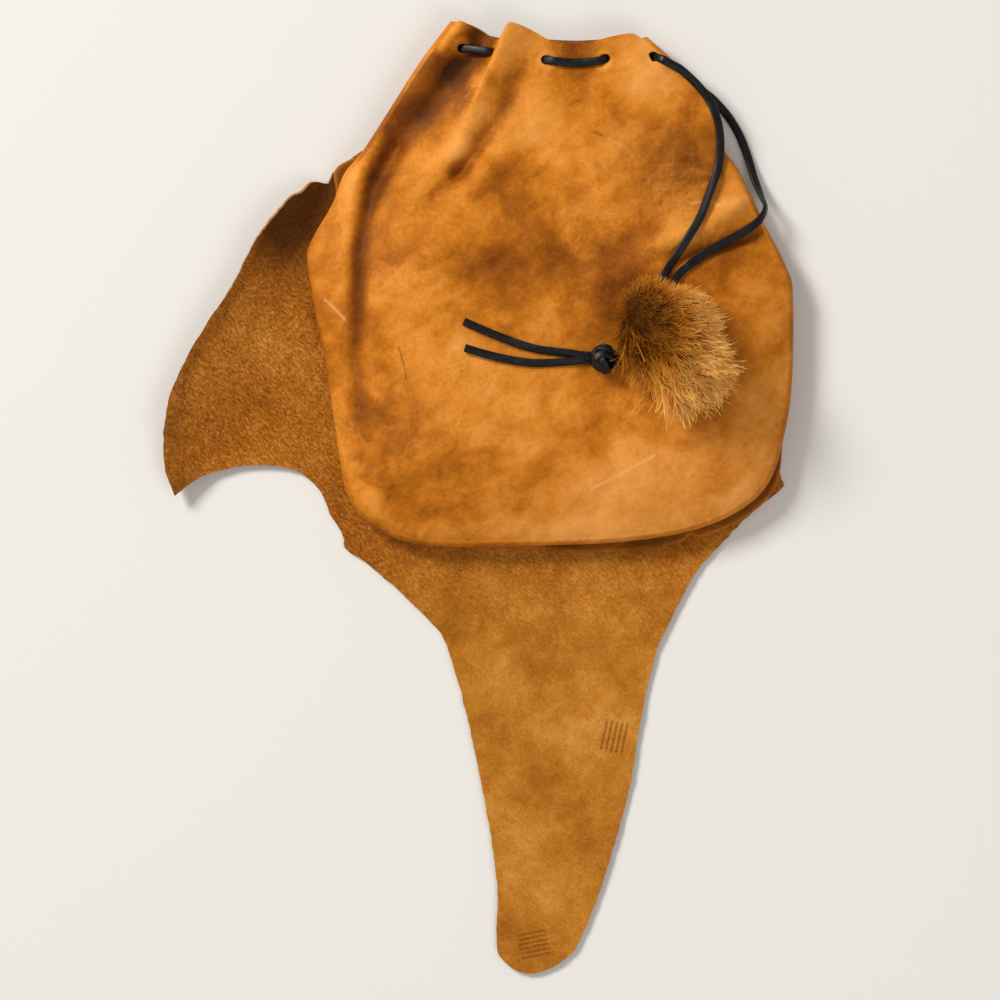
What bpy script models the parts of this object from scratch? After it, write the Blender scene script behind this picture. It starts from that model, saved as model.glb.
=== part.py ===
"""Leather drawstring pouch lying flat on its raw hide piece, neck away from the viewer.

The pouch is a turned bag: two leather panels are sewn edge to edge inside out, so each edge
rolls over to a seam with its allowance inside. A black lace runs in and out of the gathered
neck, and its two ends pass through a fur puff to a knot. Lengths are in metres, +Z is up.
The pouch's middle line is x = 0 and its bottom edge y = 0 while the pieces are shaped.
"""

import bmesh
import bpy
import numpy as np

# Pouch. The dome slope and the neck lift run between two shares of the pouch's length.
POUCH_WIDTH = 0.243
POUCH_LENGTH = 0.263
BELLY_HEIGHT = 0.031
LEATHER_THICKNESS = 0.0016
FRONT_ROLL_INNER_RADIUS = 0.0012
BACK_ROLL_INNER_RADIUS = 0.0007
SEAM_ALLOWANCE = 0.0035
BACK_EDGE_PROUD = 0.0045
DOME_SHOULDER = 0.070
DOME_SLOPE = (0.45, 0.95)
NECK_LIFT = (0.757, 0.852)
NECK_EDGE_ROWS = 7
FOLD_HEIGHT = 0.0060
FOLD_HALF_WIDTH = 0.0066
MOUTH_SPARE = 0.0015

# Hide. A rise under the flat share of the curl height is taken as lying flat.
HIDE_FLAT_SHARE = 0.02
HIDE_THICKNESS = 0.0018
HIDE_WING_REACH = 0.0720
HIDE_TAIL_REACH = 0.2135
HIDE_SIDE_INSET = 0.0040
HIDE_NECK_DROP = 0.0635
HIDE_CURL_HEIGHT = 0.0110
HIDE_CURL_WIDTH = 0.0110
HIDE_CURL_CLEARANCE = 0.0025
HIDE_SLICE = 0.0060

# Drawstring, fur puff and knot
LACE_DIAMETER = 0.0032
LACE_POINT_SPACING = 0.0062
PUFF_LENGTH = 0.074
PUFF_WIDTH = 0.054
PUFF_HEIGHT = 0.030
PUFF_TURN_DEGREES = -57.0
PUFF_LUMP_HEIGHT = 0.0022
PUFF_CENTRE_SHARE = 0.42
KNOT_LENGTH = 0.0120
KNOT_DIAMETER = 0.0125

# Clearances
SEAT_GAP = 0.0003
LACE_LAY_GAP = 0.0005
LACE_HOLE_CLEARANCE = 0.00035
PUFF_BORE_CLEARANCE = 0.0005

# Mesh fineness
OUTLINE_ROWS = 38
LACE_BEVEL_RESOLUTION = 2
MERGE_DISTANCE = 0.00001

# Outlines, as shares of the pouch's width from its middle line and of its length from its
# bottom edge. The left and right edges run from the neck to the middle of the bottom.
LEFT_EDGE = (
    (-0.210, 0.994), (-0.267, 0.924), (-0.333, 0.829), (-0.387, 0.753), (-0.424, 0.711),
    (-0.447, 0.656), (-0.492, 0.582), (-0.500, 0.544), (-0.484, 0.452), (-0.463, 0.357),
    (-0.442, 0.224), (-0.422, 0.114), (-0.387, 0.057), (-0.309, 0.015), (-0.206, 0.002),
    (-0.021, 0.004),
)
RIGHT_EDGE = (
    (0.206, 0.964), (0.251, 0.928), (0.302, 0.875), (0.340, 0.823), (0.358, 0.757),
    (0.387, 0.719), (0.442, 0.614), (0.490, 0.525), (0.500, 0.471), (0.498, 0.319),
    (0.484, 0.224), (0.453, 0.129), (0.391, 0.072), (0.288, 0.032), (0.144, 0.011),
    (-0.021, 0.004),
)
NECK_EDGE = (
    (-0.210, 0.994), (-0.185, 1.000), (-0.144, 0.983), (-0.103, 0.962), (-0.082, 0.979),
    (-0.062, 0.992), (-0.031, 0.979), (0.004, 0.962), (0.045, 0.958), (0.082, 0.960),
    (0.123, 0.970), (0.169, 0.977), (0.206, 0.964),
)
MIDDLE_LINE = ((0.021, 0.962), (0.004, 0.247))

# Gathers and creases of the front panel. Rise and width are shares of FOLD_HEIGHT and
# FOLD_HALF_WIDTH, and start and end say how much of the rise is left at the route's ends.
FRONT_FOLDS = (
    dict(rise=0.75, width=1.0, start=1.0, end=0.1,
         route=((-0.195, 1.000), (-0.259, 0.899), (-0.333, 0.785), (-0.401, 0.671), (-0.436, 0.586))),
    dict(rise=-1.0, width=0.95, start=0.7, end=0.3,
         route=((-0.119, 0.985), (-0.195, 0.867), (-0.288, 0.757), (-0.354, 0.662),
                (-0.397, 0.538), (-0.412, 0.414), (-0.407, 0.243), (-0.395, 0.091))),
    dict(rise=0.9, width=0.95, start=1.0, end=0.1,
         route=((-0.062, 1.000), (-0.099, 0.899), (-0.148, 0.804), (-0.202, 0.728), (-0.247, 0.662))),
    dict(rise=0.5, width=2.2, start=1.0, end=0.3,
         route=((0.169, 0.985), (0.185, 0.890), (0.206, 0.795))),
    dict(rise=-0.3, width=1.9, start=1.0, end=0.2,
         route=((0.045, 0.975), (0.047, 0.899), (0.050, 0.850))),
    dict(rise=-0.35, width=0.8, start=0.4, end=1.0,
         route=((-0.140, 0.738), (-0.247, 0.677))),
)

# The hide's outline, as shares of its own width and length. True marks a sharp corner. It
# starts at the top left, beside the pouch, and runs down the wing.
HIDE_OUTLINE = (
    (0.318, 0.999, True), (0.296, 0.987, False), (0.275, 0.972, False), (0.265, 0.959, True),
    (0.249, 0.960, False), (0.238, 0.958, False), (0.222, 0.947, False), (0.204, 0.939, False),
    (0.169, 0.909, False), (0.140, 0.875, False), (0.111, 0.832, False), (0.074, 0.792, False),
    (0.037, 0.745, False), (0.011, 0.701, False), (0.000, 0.640, False), (0.006, 0.603, False),
    (0.018, 0.580, True), (0.043, 0.594, False), (0.074, 0.607, False), (0.129, 0.616, False),
    (0.185, 0.616, False), (0.222, 0.607, False), (0.251, 0.587, False), (0.268, 0.558, False),
    (0.289, 0.531, False), (0.293, 0.516, False), (0.326, 0.499, False), (0.379, 0.464, False),
    (0.423, 0.431, False), (0.449, 0.409, False), (0.468, 0.370, False), (0.489, 0.310, False),
    (0.516, 0.213, False), (0.537, 0.111, False), (0.537, 0.035, False), (0.553, 0.011, False),
    (0.584, 0.000, False), (0.617, 0.004, False), (0.645, 0.016, False), (0.670, 0.039, False),
    (0.706, 0.109, False), (0.746, 0.211, False), (0.764, 0.289, False), (0.777, 0.340, False),
    (0.796, 0.395, False), (0.828, 0.446, False), (0.860, 0.490, False), (0.895, 0.518, False),
    (0.936, 0.551, False), (0.984, 0.581, False), (1.000, 0.592, True), (0.990, 0.620, False),
    (0.982, 0.696, False), (0.979, 0.817, False), (0.947, 0.920, False), (0.908, 0.987, False),
    (0.899, 1.000, True), (0.767, 0.993, False), (0.606, 1.000, False), (0.445, 0.993, False),
)

# Curls of the hide's free edges, in shares of its width and length.
HIDE_CURLS = (
    dict(rise=0.8, width=1.0, start=0.9, end=0.7,
         route=((0.230, 0.950), (0.169, 0.909), (0.111, 0.832), (0.074, 0.792), (0.011, 0.701))),
    dict(rise=1.0, width=1.1, start=0.4, end=1.0,
         route=((-0.004, 0.660), (0.018, 0.580))),
    dict(rise=0.3, width=0.7, start=0.6, end=0.3,
         route=((0.084, 0.609), (0.156, 0.619), (0.228, 0.603), (0.289, 0.531))),
)

# Where the lace runs round the neck, in shares of the pouch, with the face that it lies on.
FRONT_OUTSIDE, FRONT_INSIDE, BACK_INSIDE, BACK_OUTSIDE = range(4)
NECK_RUN = (
    (0.246, 0.919, FRONT_OUTSIDE), (0.228, 0.928, FRONT_OUTSIDE), (0.198, 0.937, FRONT_INSIDE),
    (0.160, 0.941, FRONT_INSIDE),
    (0.126, 0.933, FRONT_INSIDE), (0.097, 0.924, FRONT_OUTSIDE), (0.051, 0.923, FRONT_OUTSIDE),
    (0.006, 0.924, FRONT_OUTSIDE), (-0.021, 0.928, FRONT_INSIDE), (-0.043, 0.932, FRONT_INSIDE),
    (-0.064, 0.933, FRONT_INSIDE), (-0.093, 0.936, FRONT_OUTSIDE), (-0.128, 0.943, FRONT_OUTSIDE),
    (-0.165, 0.948, FRONT_OUTSIDE), (-0.193, 0.950, FRONT_INSIDE), (-0.208, 0.944, FRONT_INSIDE),
    (-0.206, 0.928, BACK_INSIDE), (-0.191, 0.924, BACK_INSIDE), (-0.163, 0.922, BACK_OUTSIDE),
    (-0.128, 0.920, BACK_OUTSIDE), (-0.097, 0.918, BACK_OUTSIDE), (-0.068, 0.916, BACK_INSIDE),
    (-0.043, 0.916, BACK_INSIDE), (-0.019, 0.916, BACK_INSIDE), (0.010, 0.916, BACK_OUTSIDE),
    (0.051, 0.914, BACK_OUTSIDE), (0.093, 0.914, BACK_OUTSIDE), (0.121, 0.914, BACK_INSIDE),
    (0.154, 0.914, BACK_INSIDE), (0.185, 0.914, BACK_INSIDE), (0.214, 0.913, BACK_OUTSIDE),
    (0.247, 0.903, BACK_OUTSIDE), (0.278, 0.890, BACK_OUTSIDE), (0.302, 0.878, BACK_OUTSIDE),
    (0.320, 0.867, BACK_OUTSIDE), (0.336, 0.855, BACK_OUTSIDE),
)

# The free strands, from the neck to the puff, and the tails, from the knot to their ends.
# The third value is the least height above the floor, as a share of BELLY_HEIGHT.
INNER_STRAND = (
    (0.270, 0.907, 0), (0.307, 0.875, 0), (0.331, 0.844, 0),
    (0.346, 0.804, 0), (0.350, 0.760, 0), (0.344, 0.719, 0), (0.327, 0.675, 0),
    (0.307, 0.627, 0), (0.280, 0.584, 0), (0.255, 0.549, 0), (0.237, 0.523, 0),
)
OUTER_STRAND = (
    (0.374, 0.814, 0), (0.393, 0.783, 0), (0.409, 0.743, 0), (0.422, 0.702, 0.16),
    (0.435, 0.669, 0.36),
    (0.443, 0.646, 0.55), (0.430, 0.623, 0), (0.401, 0.601, 0), (0.360, 0.580, 0),
    (0.317, 0.557, 0), (0.280, 0.532, 0), (0.257, 0.511, 0),
)
INNER_STRAND_IN_PUFF = ((0.210, 0.475), (0.190, 0.430), (0.172, 0.396))
OUTER_STRAND_IN_PUFF = ((0.233, 0.468), (0.218, 0.415), (0.196, 0.364))
UPPER_TAIL = ((0.033, 0.369, 0), (-0.037, 0.378, 0), (-0.109, 0.401, 0), (-0.177, 0.428, 0))
LOWER_TAIL = ((0.033, 0.352, 0), (-0.037, 0.350, 0), (-0.109, 0.361, 0), (-0.175, 0.378, 0))
PUFF_PLACE = (0.262, 0.372)
KNOT_SIDE = 0.360

# Heights and radii that follow from the sizes above.
LACE_RADIUS = LACE_DIAMETER / 2
LACE_STAND_OFF = LACE_RADIUS + LACE_LAY_GAP
FRONT_ROLL_RADIUS = LEATHER_THICKNESS + FRONT_ROLL_INNER_RADIUS
BACK_ROLL_RADIUS = LEATHER_THICKNESS + BACK_ROLL_INNER_RADIUS
BACK_SEAT_HEIGHT = HIDE_THICKNESS + SEAT_GAP
BACK_NECK_HEIGHT = max(BACK_SEAT_HEIGHT, SEAT_GAP + LACE_RADIUS + LACE_STAND_OFF)
SEAM_RISE = 2 * BACK_ROLL_RADIUS + SEAT_GAP / 2
NECK_OPENING = 2 * (LACE_RADIUS + LACE_STAND_OFF) + LACE_LAY_GAP + MOUTH_SPARE
FRONT_NECK_HEIGHT = max(
    BACK_NECK_HEIGHT + 2 * LEATHER_THICKNESS + NECK_OPENING,
    BACK_NECK_HEIGHT + SEAM_RISE + SEAT_GAP / 2 + 2 * FRONT_ROLL_RADIUS,
)
LACE_FACE_HEIGHT = BACK_NECK_HEIGHT + LEATHER_THICKNESS


def clear_scene():
    for item in list(bpy.data.objects):
        bpy.data.objects.remove(item, do_unlink=True)


def new_collection(name):
    collection = bpy.data.collections.new(name)
    bpy.context.scene.collection.children.link(collection)
    return collection


def new_material(name, color, roughness):
    material = bpy.data.materials.new(name)
    material.use_nodes = True
    shader = material.node_tree.nodes["Principled BSDF"]
    shader.inputs["Base Color"].default_value = (*color, 1.0)
    shader.inputs["Roughness"].default_value = roughness
    shader.inputs["Metallic"].default_value = 0.0
    return material


def on_pouch(shares):
    """Plan points, in metres, of points given as shares of the pouch's width and length."""
    return np.asarray(shares, dtype=float)[:, :2] * (POUCH_WIDTH, POUCH_LENGTH)


def ease(value, start, end):
    """A smooth step from 0 at start to 1 at end."""
    share = np.clip((value - start) / (end - start), 0.0, 1.0)
    return share * share * (3 - 2 * share)


def smooth_path(points, per_span=8):
    """Points on a smooth curve through all the given points, ends included."""
    known = np.asarray(points, dtype=float)
    ring = np.vstack([2 * known[0] - known[1], known, 2 * known[-1] - known[-2]])
    share = np.linspace(0.0, 1.0, per_span, endpoint=False)[:, None]
    spans = []
    for before, start, end, after in zip(ring[:-3], ring[1:-2], ring[2:-1], ring[3:]):
        pull = (end - before) * share
        bend = (2 * before - 5 * start + 4 * end - after) * share ** 2
        twist = (3 * start - before - 3 * end + after) * share ** 3
        spans.append(start + 0.5 * (pull + bend + twist))
    spans.append(known[-1:])
    return np.vstack(spans)


def spread_evenly(path, count):
    """The given number of points at even steps along a path."""
    steps = np.linalg.norm(np.diff(path, axis=0), axis=1)
    along = np.concatenate([[0.0], np.cumsum(steps)])
    wanted = np.linspace(0.0, along[-1], count)
    return np.stack([np.interp(wanted, along, path[:, axis]) for axis in range(path.shape[1])], axis=1)


def path_length(path):
    return float(np.linalg.norm(np.diff(path, axis=0), axis=1).sum())


def nearest_on_path(points, path):
    """Distance of each plan point from a path, and how far along it the nearest place is."""
    start = path[:-1][None]
    run = (path[1:] - path[:-1])[None]
    reach = points[:, None] - start
    share = np.clip((reach * run).sum(2) / np.maximum((run * run).sum(2), 1e-18), 0.0, 1.0)
    distance = np.linalg.norm(reach - share[..., None] * run, axis=2)
    best = distance.argmin(axis=1)
    row = np.arange(len(points))
    return distance[row, best], (best + share[row, best]) / run.shape[1]


def fold_rise(points, folds, place, height, width):
    """Height that ridges and creases along their routes add at plan points."""
    rise = np.zeros(len(points))
    for fold in folds:
        route = smooth_path(place(fold["route"]), 4)
        distance, along = nearest_on_path(points, route)
        strength = fold["start"] + (fold["end"] - fold["start"]) * along
        rise += fold["rise"] * height * strength * np.exp(-(distance / (fold["width"] * width)) ** 2)
    return rise


def pouch_edge_path():
    """The pouch's edge from the neck down the left side, along the bottom and up the right."""
    left = spread_evenly(smooth_path(on_pouch(LEFT_EDGE)), OUTLINE_ROWS + 1)
    right = spread_evenly(smooth_path(on_pouch(RIGHT_EDGE)), OUTLINE_ROWS + 1)
    return np.vstack([left, right[-2::-1]])


EDGE = pouch_edge_path()
NECK_SLACK = POUCH_LENGTH * 0.2
EDGE_PAST_NECK = np.vstack([
    EDGE[0] + (EDGE[0] - EDGE[1]) / np.linalg.norm(EDGE[0] - EDGE[1]) * NECK_SLACK,
    EDGE,
    EDGE[-1] + (EDGE[-1] - EDGE[-2]) / np.linalg.norm(EDGE[-1] - EDGE[-2]) * NECK_SLACK,
])


def is_on_pouch(points):
    """Whether plan points lie inside the pouch's edge."""
    start = EDGE_PAST_NECK
    end = np.roll(EDGE_PAST_NECK, -1, axis=0)
    x = points[:, None, 0]
    y = points[:, None, 1]
    straddles = (start[:, 1] > y) != (end[:, 1] > y)
    rise = np.where(np.abs(end[:, 1] - start[:, 1]) < 1e-12, 1e-12, end[:, 1] - start[:, 1])
    crossing = start[:, 0] + (y - start[:, 1]) / rise * (end[:, 0] - start[:, 0])
    return (straddles & (x < crossing)).sum(axis=1) % 2 == 1


def back_height(y):
    """Height of the back panel's outer face, which lifts at the neck to let the lace under it."""
    lift = ease(y / POUCH_LENGTH, *NECK_LIFT)
    return BACK_SEAT_HEIGHT + (BACK_NECK_HEIGHT - BACK_SEAT_HEIGHT) * lift


def seam_height(y):
    return back_height(y) + SEAM_RISE


def front_crown(points, inset):
    """Height that the front panel's dome and folds add to the top of its rolled edge."""
    y = points[:, 1]
    roll_top = seam_height(y) + SEAT_GAP / 2 + 2 * FRONT_ROLL_RADIUS
    neck_share = ease(y / POUCH_LENGTH, *DOME_SLOPE)
    top = BELLY_HEIGHT + (FRONT_NECK_HEIGHT - BELLY_HEIGHT) * neck_share
    dome = np.maximum(top - roll_top, 0.0) * np.sin(np.pi / 2 * np.clip(inset / DOME_SHOULDER, 0, 1))
    folds = fold_rise(points, FRONT_FOLDS, on_pouch, FOLD_HEIGHT, FOLD_HALF_WIDTH)
    return dome + folds * ease(inset, 0.0, 3 * FRONT_ROLL_RADIUS)


def front_height(points):
    """Height of the front panel's outer face; the floor, 0, beside the pouch."""
    inset, _ = nearest_on_path(points, EDGE_PAST_NECK)
    short = np.clip(FRONT_ROLL_RADIUS - inset, 0.0, FRONT_ROLL_RADIUS)
    roll = FRONT_ROLL_RADIUS + np.sqrt(FRONT_ROLL_RADIUS ** 2 - short ** 2)
    height = seam_height(points[:, 1]) + SEAT_GAP / 2 + roll + front_crown(points, inset)
    return np.where(is_on_pouch(points), height, 0.0)


def ball_offsets(radius):
    """Plan offsets and heights of points on the lower half of a ball."""
    rings = [(0.0, 0.0, radius)]
    for share in (0.3, 0.6, 0.85, 0.98):
        for turn in np.linspace(0.0, 2 * np.pi, 16, endpoint=False):
            reach = share * radius
            rings.append((reach * np.cos(turn), reach * np.sin(turn), np.sqrt(radius ** 2 - reach ** 2)))
    return rings


def height_on_front(points, radius):
    """Height of a ball's centre that rests on the front panel at each plan point."""
    heights = [front_height(points + (dx, dy)) + dz for dx, dy, dz in ball_offsets(radius)]
    return np.max(heights, axis=0)


def height_under_front(points, radius):
    """Height of a ball's centre that touches the front panel's inner face from below."""
    reach = radius + LEATHER_THICKNESS
    heights = [front_height(points + (dx, dy)) - dz for dx, dy, dz in ball_offsets(reach)]
    return np.min(heights, axis=0)


def lace_height(points, face):
    """Height of the lace's middle on one of the four faces at the neck."""
    if face == FRONT_OUTSIDE:
        return height_on_front(points, LACE_STAND_OFF)
    if face == FRONT_INSIDE:
        return height_under_front(points, LACE_STAND_OFF)
    if face == BACK_INSIDE:
        return np.full(len(points), LACE_FACE_HEIGHT + LACE_STAND_OFF)
    return np.full(len(points), BACK_NECK_HEIGHT - LACE_STAND_OFF)


def loft(name, rows, material, collection, faces_up):
    """An open surface through rows of points, where points that coincide are joined."""
    mesh = bpy.data.meshes.new(name)
    grid = bmesh.new()
    verts = [[grid.verts.new(point) for point in row] for row in rows]
    for upper, lower in zip(verts[:-1], verts[1:]):
        for column in range(len(upper) - 1):
            corners = [upper[column], lower[column], lower[column + 1], upper[column + 1]]
            grid.faces.new(corners if faces_up else corners[::-1])
    bmesh.ops.remove_doubles(grid, verts=grid.verts, dist=MERGE_DISTANCE)
    grid.to_mesh(mesh)
    grid.free()
    return place_mesh(name, mesh, material, collection)


def place_mesh(name, mesh, material, collection):
    mesh.shade_smooth()
    mesh.materials.append(material)
    item = bpy.data.objects.new(name, mesh)
    collection.objects.link(item)
    return item


def thicken(item, thickness, offset):
    wall = item.modifiers.new("leather_thickness", "SOLIDIFY")
    wall.thickness = thickness
    wall.offset = offset


def cut_away(item, cutter):
    cut = item.modifiers.new("cut_" + cutter.name, "BOOLEAN")
    cut.operation = "DIFFERENCE"
    cut.object = cutter


# Stations of a panel across the pouch. Roll turns run round the rolled edge, from the seam
# to the panel's face, and the inner shares run from the roll to the pouch's middle line.
ROLL_TURNS = np.radians((-90, -45, 0, 40, 90))
FRONT_INNER_SHARES = (0.03, 0.065, 0.105, 0.155, 0.215, 0.285, 0.37, 0.48, 0.64, 0.82, 1.0)
BACK_INNER_SHARES = (0.12, 0.35, 0.65, 1.0)


def edge_rows():
    """Each row's edge point, inward direction and middle point, for both sides of the pouch."""
    tangent = np.gradient(EDGE, axis=0)
    tangent /= np.linalg.norm(tangent, axis=1)[:, None]
    inward = np.stack([-tangent[:, 1], tangent[:, 0]], axis=1)
    fan_start = OUTLINE_ROWS - 4
    middle = spread_evenly(on_pouch(MIDDLE_LINE), fan_start + 1)
    middle = np.vstack([middle, np.repeat(middle[-1:], OUTLINE_ROWS - fan_start, axis=0)])
    last = 2 * OUTLINE_ROWS
    for row in range(OUTLINE_ROWS + 1):
        left = (EDGE[row], inward[row], middle[row])
        right = (EDGE[last - row], inward[last - row], middle[row])
        yield row, left, right


def neck_shift(row, points):
    """How far a row near the neck is moved along the pouch to follow the neck's wavy edge."""
    if row >= NECK_EDGE_ROWS:
        return np.zeros(len(points))
    wavy = smooth_path(on_pouch(NECK_EDGE))
    straight = np.array([EDGE[0], on_pouch(MIDDLE_LINE)[0], EDGE[-1]])
    x = np.clip(points[:, 0], wavy[0, 0], wavy[-1, 0])
    rise = np.interp(x, wavy[:, 0], wavy[:, 1]) - np.interp(x, straight[:, 0], straight[:, 1])
    return rise * (1 - row / NECK_EDGE_ROWS) ** 2


def front_half_row(row, edge, inward, middle):
    """Points of the front panel from its seam allowance to the pouch's middle line."""
    seam = edge + inward * FRONT_ROLL_RADIUS
    plan = [edge + inward * (FRONT_ROLL_RADIUS + SEAM_ALLOWANCE)]
    plan += [edge + inward * FRONT_ROLL_RADIUS * (1 - np.cos(turn)) for turn in ROLL_TURNS]
    plan += [seam + (middle - seam) * share for share in FRONT_INNER_SHARES]
    plan = np.array(plan)
    plan[:, 1] += neck_shift(row, plan)
    inset, _ = nearest_on_path(plan, EDGE_PAST_NECK)
    rolled = len(ROLL_TURNS) + 1
    lift = np.full(len(plan), 2 * FRONT_ROLL_RADIUS)
    lift[0] = 0.0
    lift[1:rolled] = FRONT_ROLL_RADIUS * (1 + np.sin(ROLL_TURNS))
    crown = front_crown(plan, inset)
    crown[:rolled - 2] = 0.0
    height = seam_height(plan[:, 1]) + SEAT_GAP / 2 + lift + crown
    return np.column_stack([plan, height])


def back_half_row(row, edge, inward, middle):
    """Points of the back panel from its seam allowance, under the front's, to the middle."""
    proud = back_edge_proud(edge)
    plan = [edge + inward * (FRONT_ROLL_RADIUS + SEAM_ALLOWANCE)]
    plan += [edge + inward * (BACK_ROLL_RADIUS * (1 - np.cos(turn)) - proud) for turn in ROLL_TURNS]
    inner = plan[-1]
    plan += [inner + (middle - inner) * share for share in BACK_INNER_SHARES]
    plan = np.array(plan)
    rolled = len(ROLL_TURNS) + 1
    drop = np.full(len(plan), SEAM_RISE - SEAT_GAP / 2)
    drop[0] = 0.0
    drop[1:rolled] = BACK_ROLL_RADIUS * (1 + np.sin(ROLL_TURNS))
    height = seam_height(plan[:, 1]) - SEAT_GAP / 2 - drop
    return np.column_stack([plan, height])


def back_edge_proud(edge):
    """How far the back panel's rolled edge shows past the front's, at the lower right."""
    across = edge[0] / POUCH_WIDTH
    up = edge[1] / POUCH_LENGTH
    return BACK_EDGE_PROUD * ease(across, -0.15, 0.15) * (1 - ease(up, 0.10, 0.22))


def panel_rows(half_row):
    rows = []
    for row, left, right in edge_rows():
        left_half = half_row(row, *left)
        right_half = half_row(row, *right)
        rows.append(np.vstack([left_half, right_half[-2::-1]]))
    return rows


def lace_route(points, spacing):
    return spread_evenly(points, max(2, round(path_length(points) / spacing) + 1))


def neck_run_route():
    """The lace's middle line through the neck, from the front's last hole to the back's."""
    plan = on_pouch(NECK_RUN)
    heights = [lace_height(place[None], face[2])[0] for place, face in zip(plan, NECK_RUN)]
    path = lace_route(smooth_path(np.column_stack([plan, heights])), LACE_POINT_SPACING * 0.7)
    path[:, 2] = np.maximum(path[:, 2], SEAT_GAP + LACE_RADIUS)
    return path


def lying_route(points, before=(), after=()):
    """A free lace's middle line: on the pouch where it crosses it, else on the floor.

    The points before and after are fixed in space, and the lace's ends run straight to them.
    """
    plan = on_pouch(points)
    least = np.array([point[2] for point in points]) * BELLY_HEIGHT
    floor = np.maximum(least, SEAT_GAP + LACE_RADIUS)
    heights = np.maximum(height_on_front(plan, LACE_STAND_OFF), floor)
    known = np.vstack([*before[1:], np.column_stack([plan, heights]), *after[:-1]])
    path = lace_route(smooth_path(known), LACE_POINT_SPACING)
    resting = height_on_front(path[:, :2], LACE_STAND_OFF)
    path[1:-1, 2] = np.maximum(path[1:-1, 2], resting[1:-1])
    return np.vstack([*before[:1], path, *after[-1:]])


def lace_tube(name, points, diameter, material, collection):
    curve = bpy.data.curves.new(name, "CURVE")
    curve.dimensions = "3D"
    curve.bevel_depth = diameter / 2
    curve.bevel_resolution = LACE_BEVEL_RESOLUTION
    curve.use_fill_caps = True
    spline = curve.splines.new("POLY")
    spline.points.add(len(points) - 1)
    for node, place in zip(spline.points, points):
        node.co = (*place, 1.0)
    curve.materials.append(material)
    item = bpy.data.objects.new(name, curve)
    collection.objects.link(item)
    return item


def lace_cutter(name, points, clearance, material, collection):
    """A closed tube along a lace's route, wider than the lace by the clearance all round."""
    guide = lace_tube(name + "_guide", points, LACE_DIAMETER + 2 * clearance, material, collection)
    bpy.context.view_layer.update()
    seen = guide.evaluated_get(bpy.context.evaluated_depsgraph_get())
    mesh = bpy.data.meshes.new_from_object(seen)
    solid = bmesh.new()
    solid.from_mesh(mesh)
    bmesh.ops.remove_doubles(solid, verts=solid.verts, dist=MERGE_DISTANCE)
    solid.to_mesh(mesh)
    solid.free()
    bpy.data.objects.remove(guide, do_unlink=True)
    cutter = bpy.data.objects.new(name, mesh)
    cutter.hide_render = True
    cutter.display_type = "WIRE"
    collection.objects.link(cutter)
    return cutter


def on_hide(shares):
    """Plan points, in metres, of points given as shares of the hide's width and length."""
    left = EDGE[:, 0].min() - HIDE_WING_REACH
    right = EDGE[:, 0].max() - HIDE_SIDE_INSET
    bottom = EDGE[:, 1].min() - HIDE_TAIL_REACH
    top = POUCH_LENGTH - HIDE_NECK_DROP
    shares = np.asarray(shares, dtype=float)[:, :2]
    return shares * (right - left, top - bottom) + (left, bottom)


def hide_rise(points):
    """Height of the hide's underside: 0 where it lies flat, more where a free edge curls up."""
    curls = fold_rise(points, HIDE_CURLS, on_hide, HIDE_CURL_HEIGHT, HIDE_CURL_WIDTH)
    distance, _ = nearest_on_path(points, EDGE_PAST_NECK)
    clear = np.where(is_on_pouch(points), 0.0, distance)
    start = HIDE_CURL_CLEARANCE + 1.5 * HIDE_SLICE
    free = ease(clear, start, start + HIDE_CURL_WIDTH)
    rise = np.maximum(curls, 0.0) * free
    return np.where(rise < HIDE_FLAT_SHARE * HIDE_CURL_HEIGHT, 0.0, rise)


def hide_outline_curve():
    """A flat filled curve with the hide's outline, smooth between its sharp corners."""
    curve = bpy.data.curves.new("hide_outline", "CURVE")
    curve.dimensions = "2D"
    curve.fill_mode = "BOTH"
    curve.resolution_u = 3
    spline = curve.splines.new("BEZIER")
    spline.use_cyclic_u = True
    spline.bezier_points.add(len(HIDE_OUTLINE) - 1)
    for node, place, point in zip(spline.bezier_points, on_hide(HIDE_OUTLINE), HIDE_OUTLINE):
        node.co = (*place, 0.0)
        kind = "VECTOR" if point[2] else "AUTO"
        node.handle_left_type = kind
        node.handle_right_type = kind
    return bpy.data.objects.new("hide_outline", curve)


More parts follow.
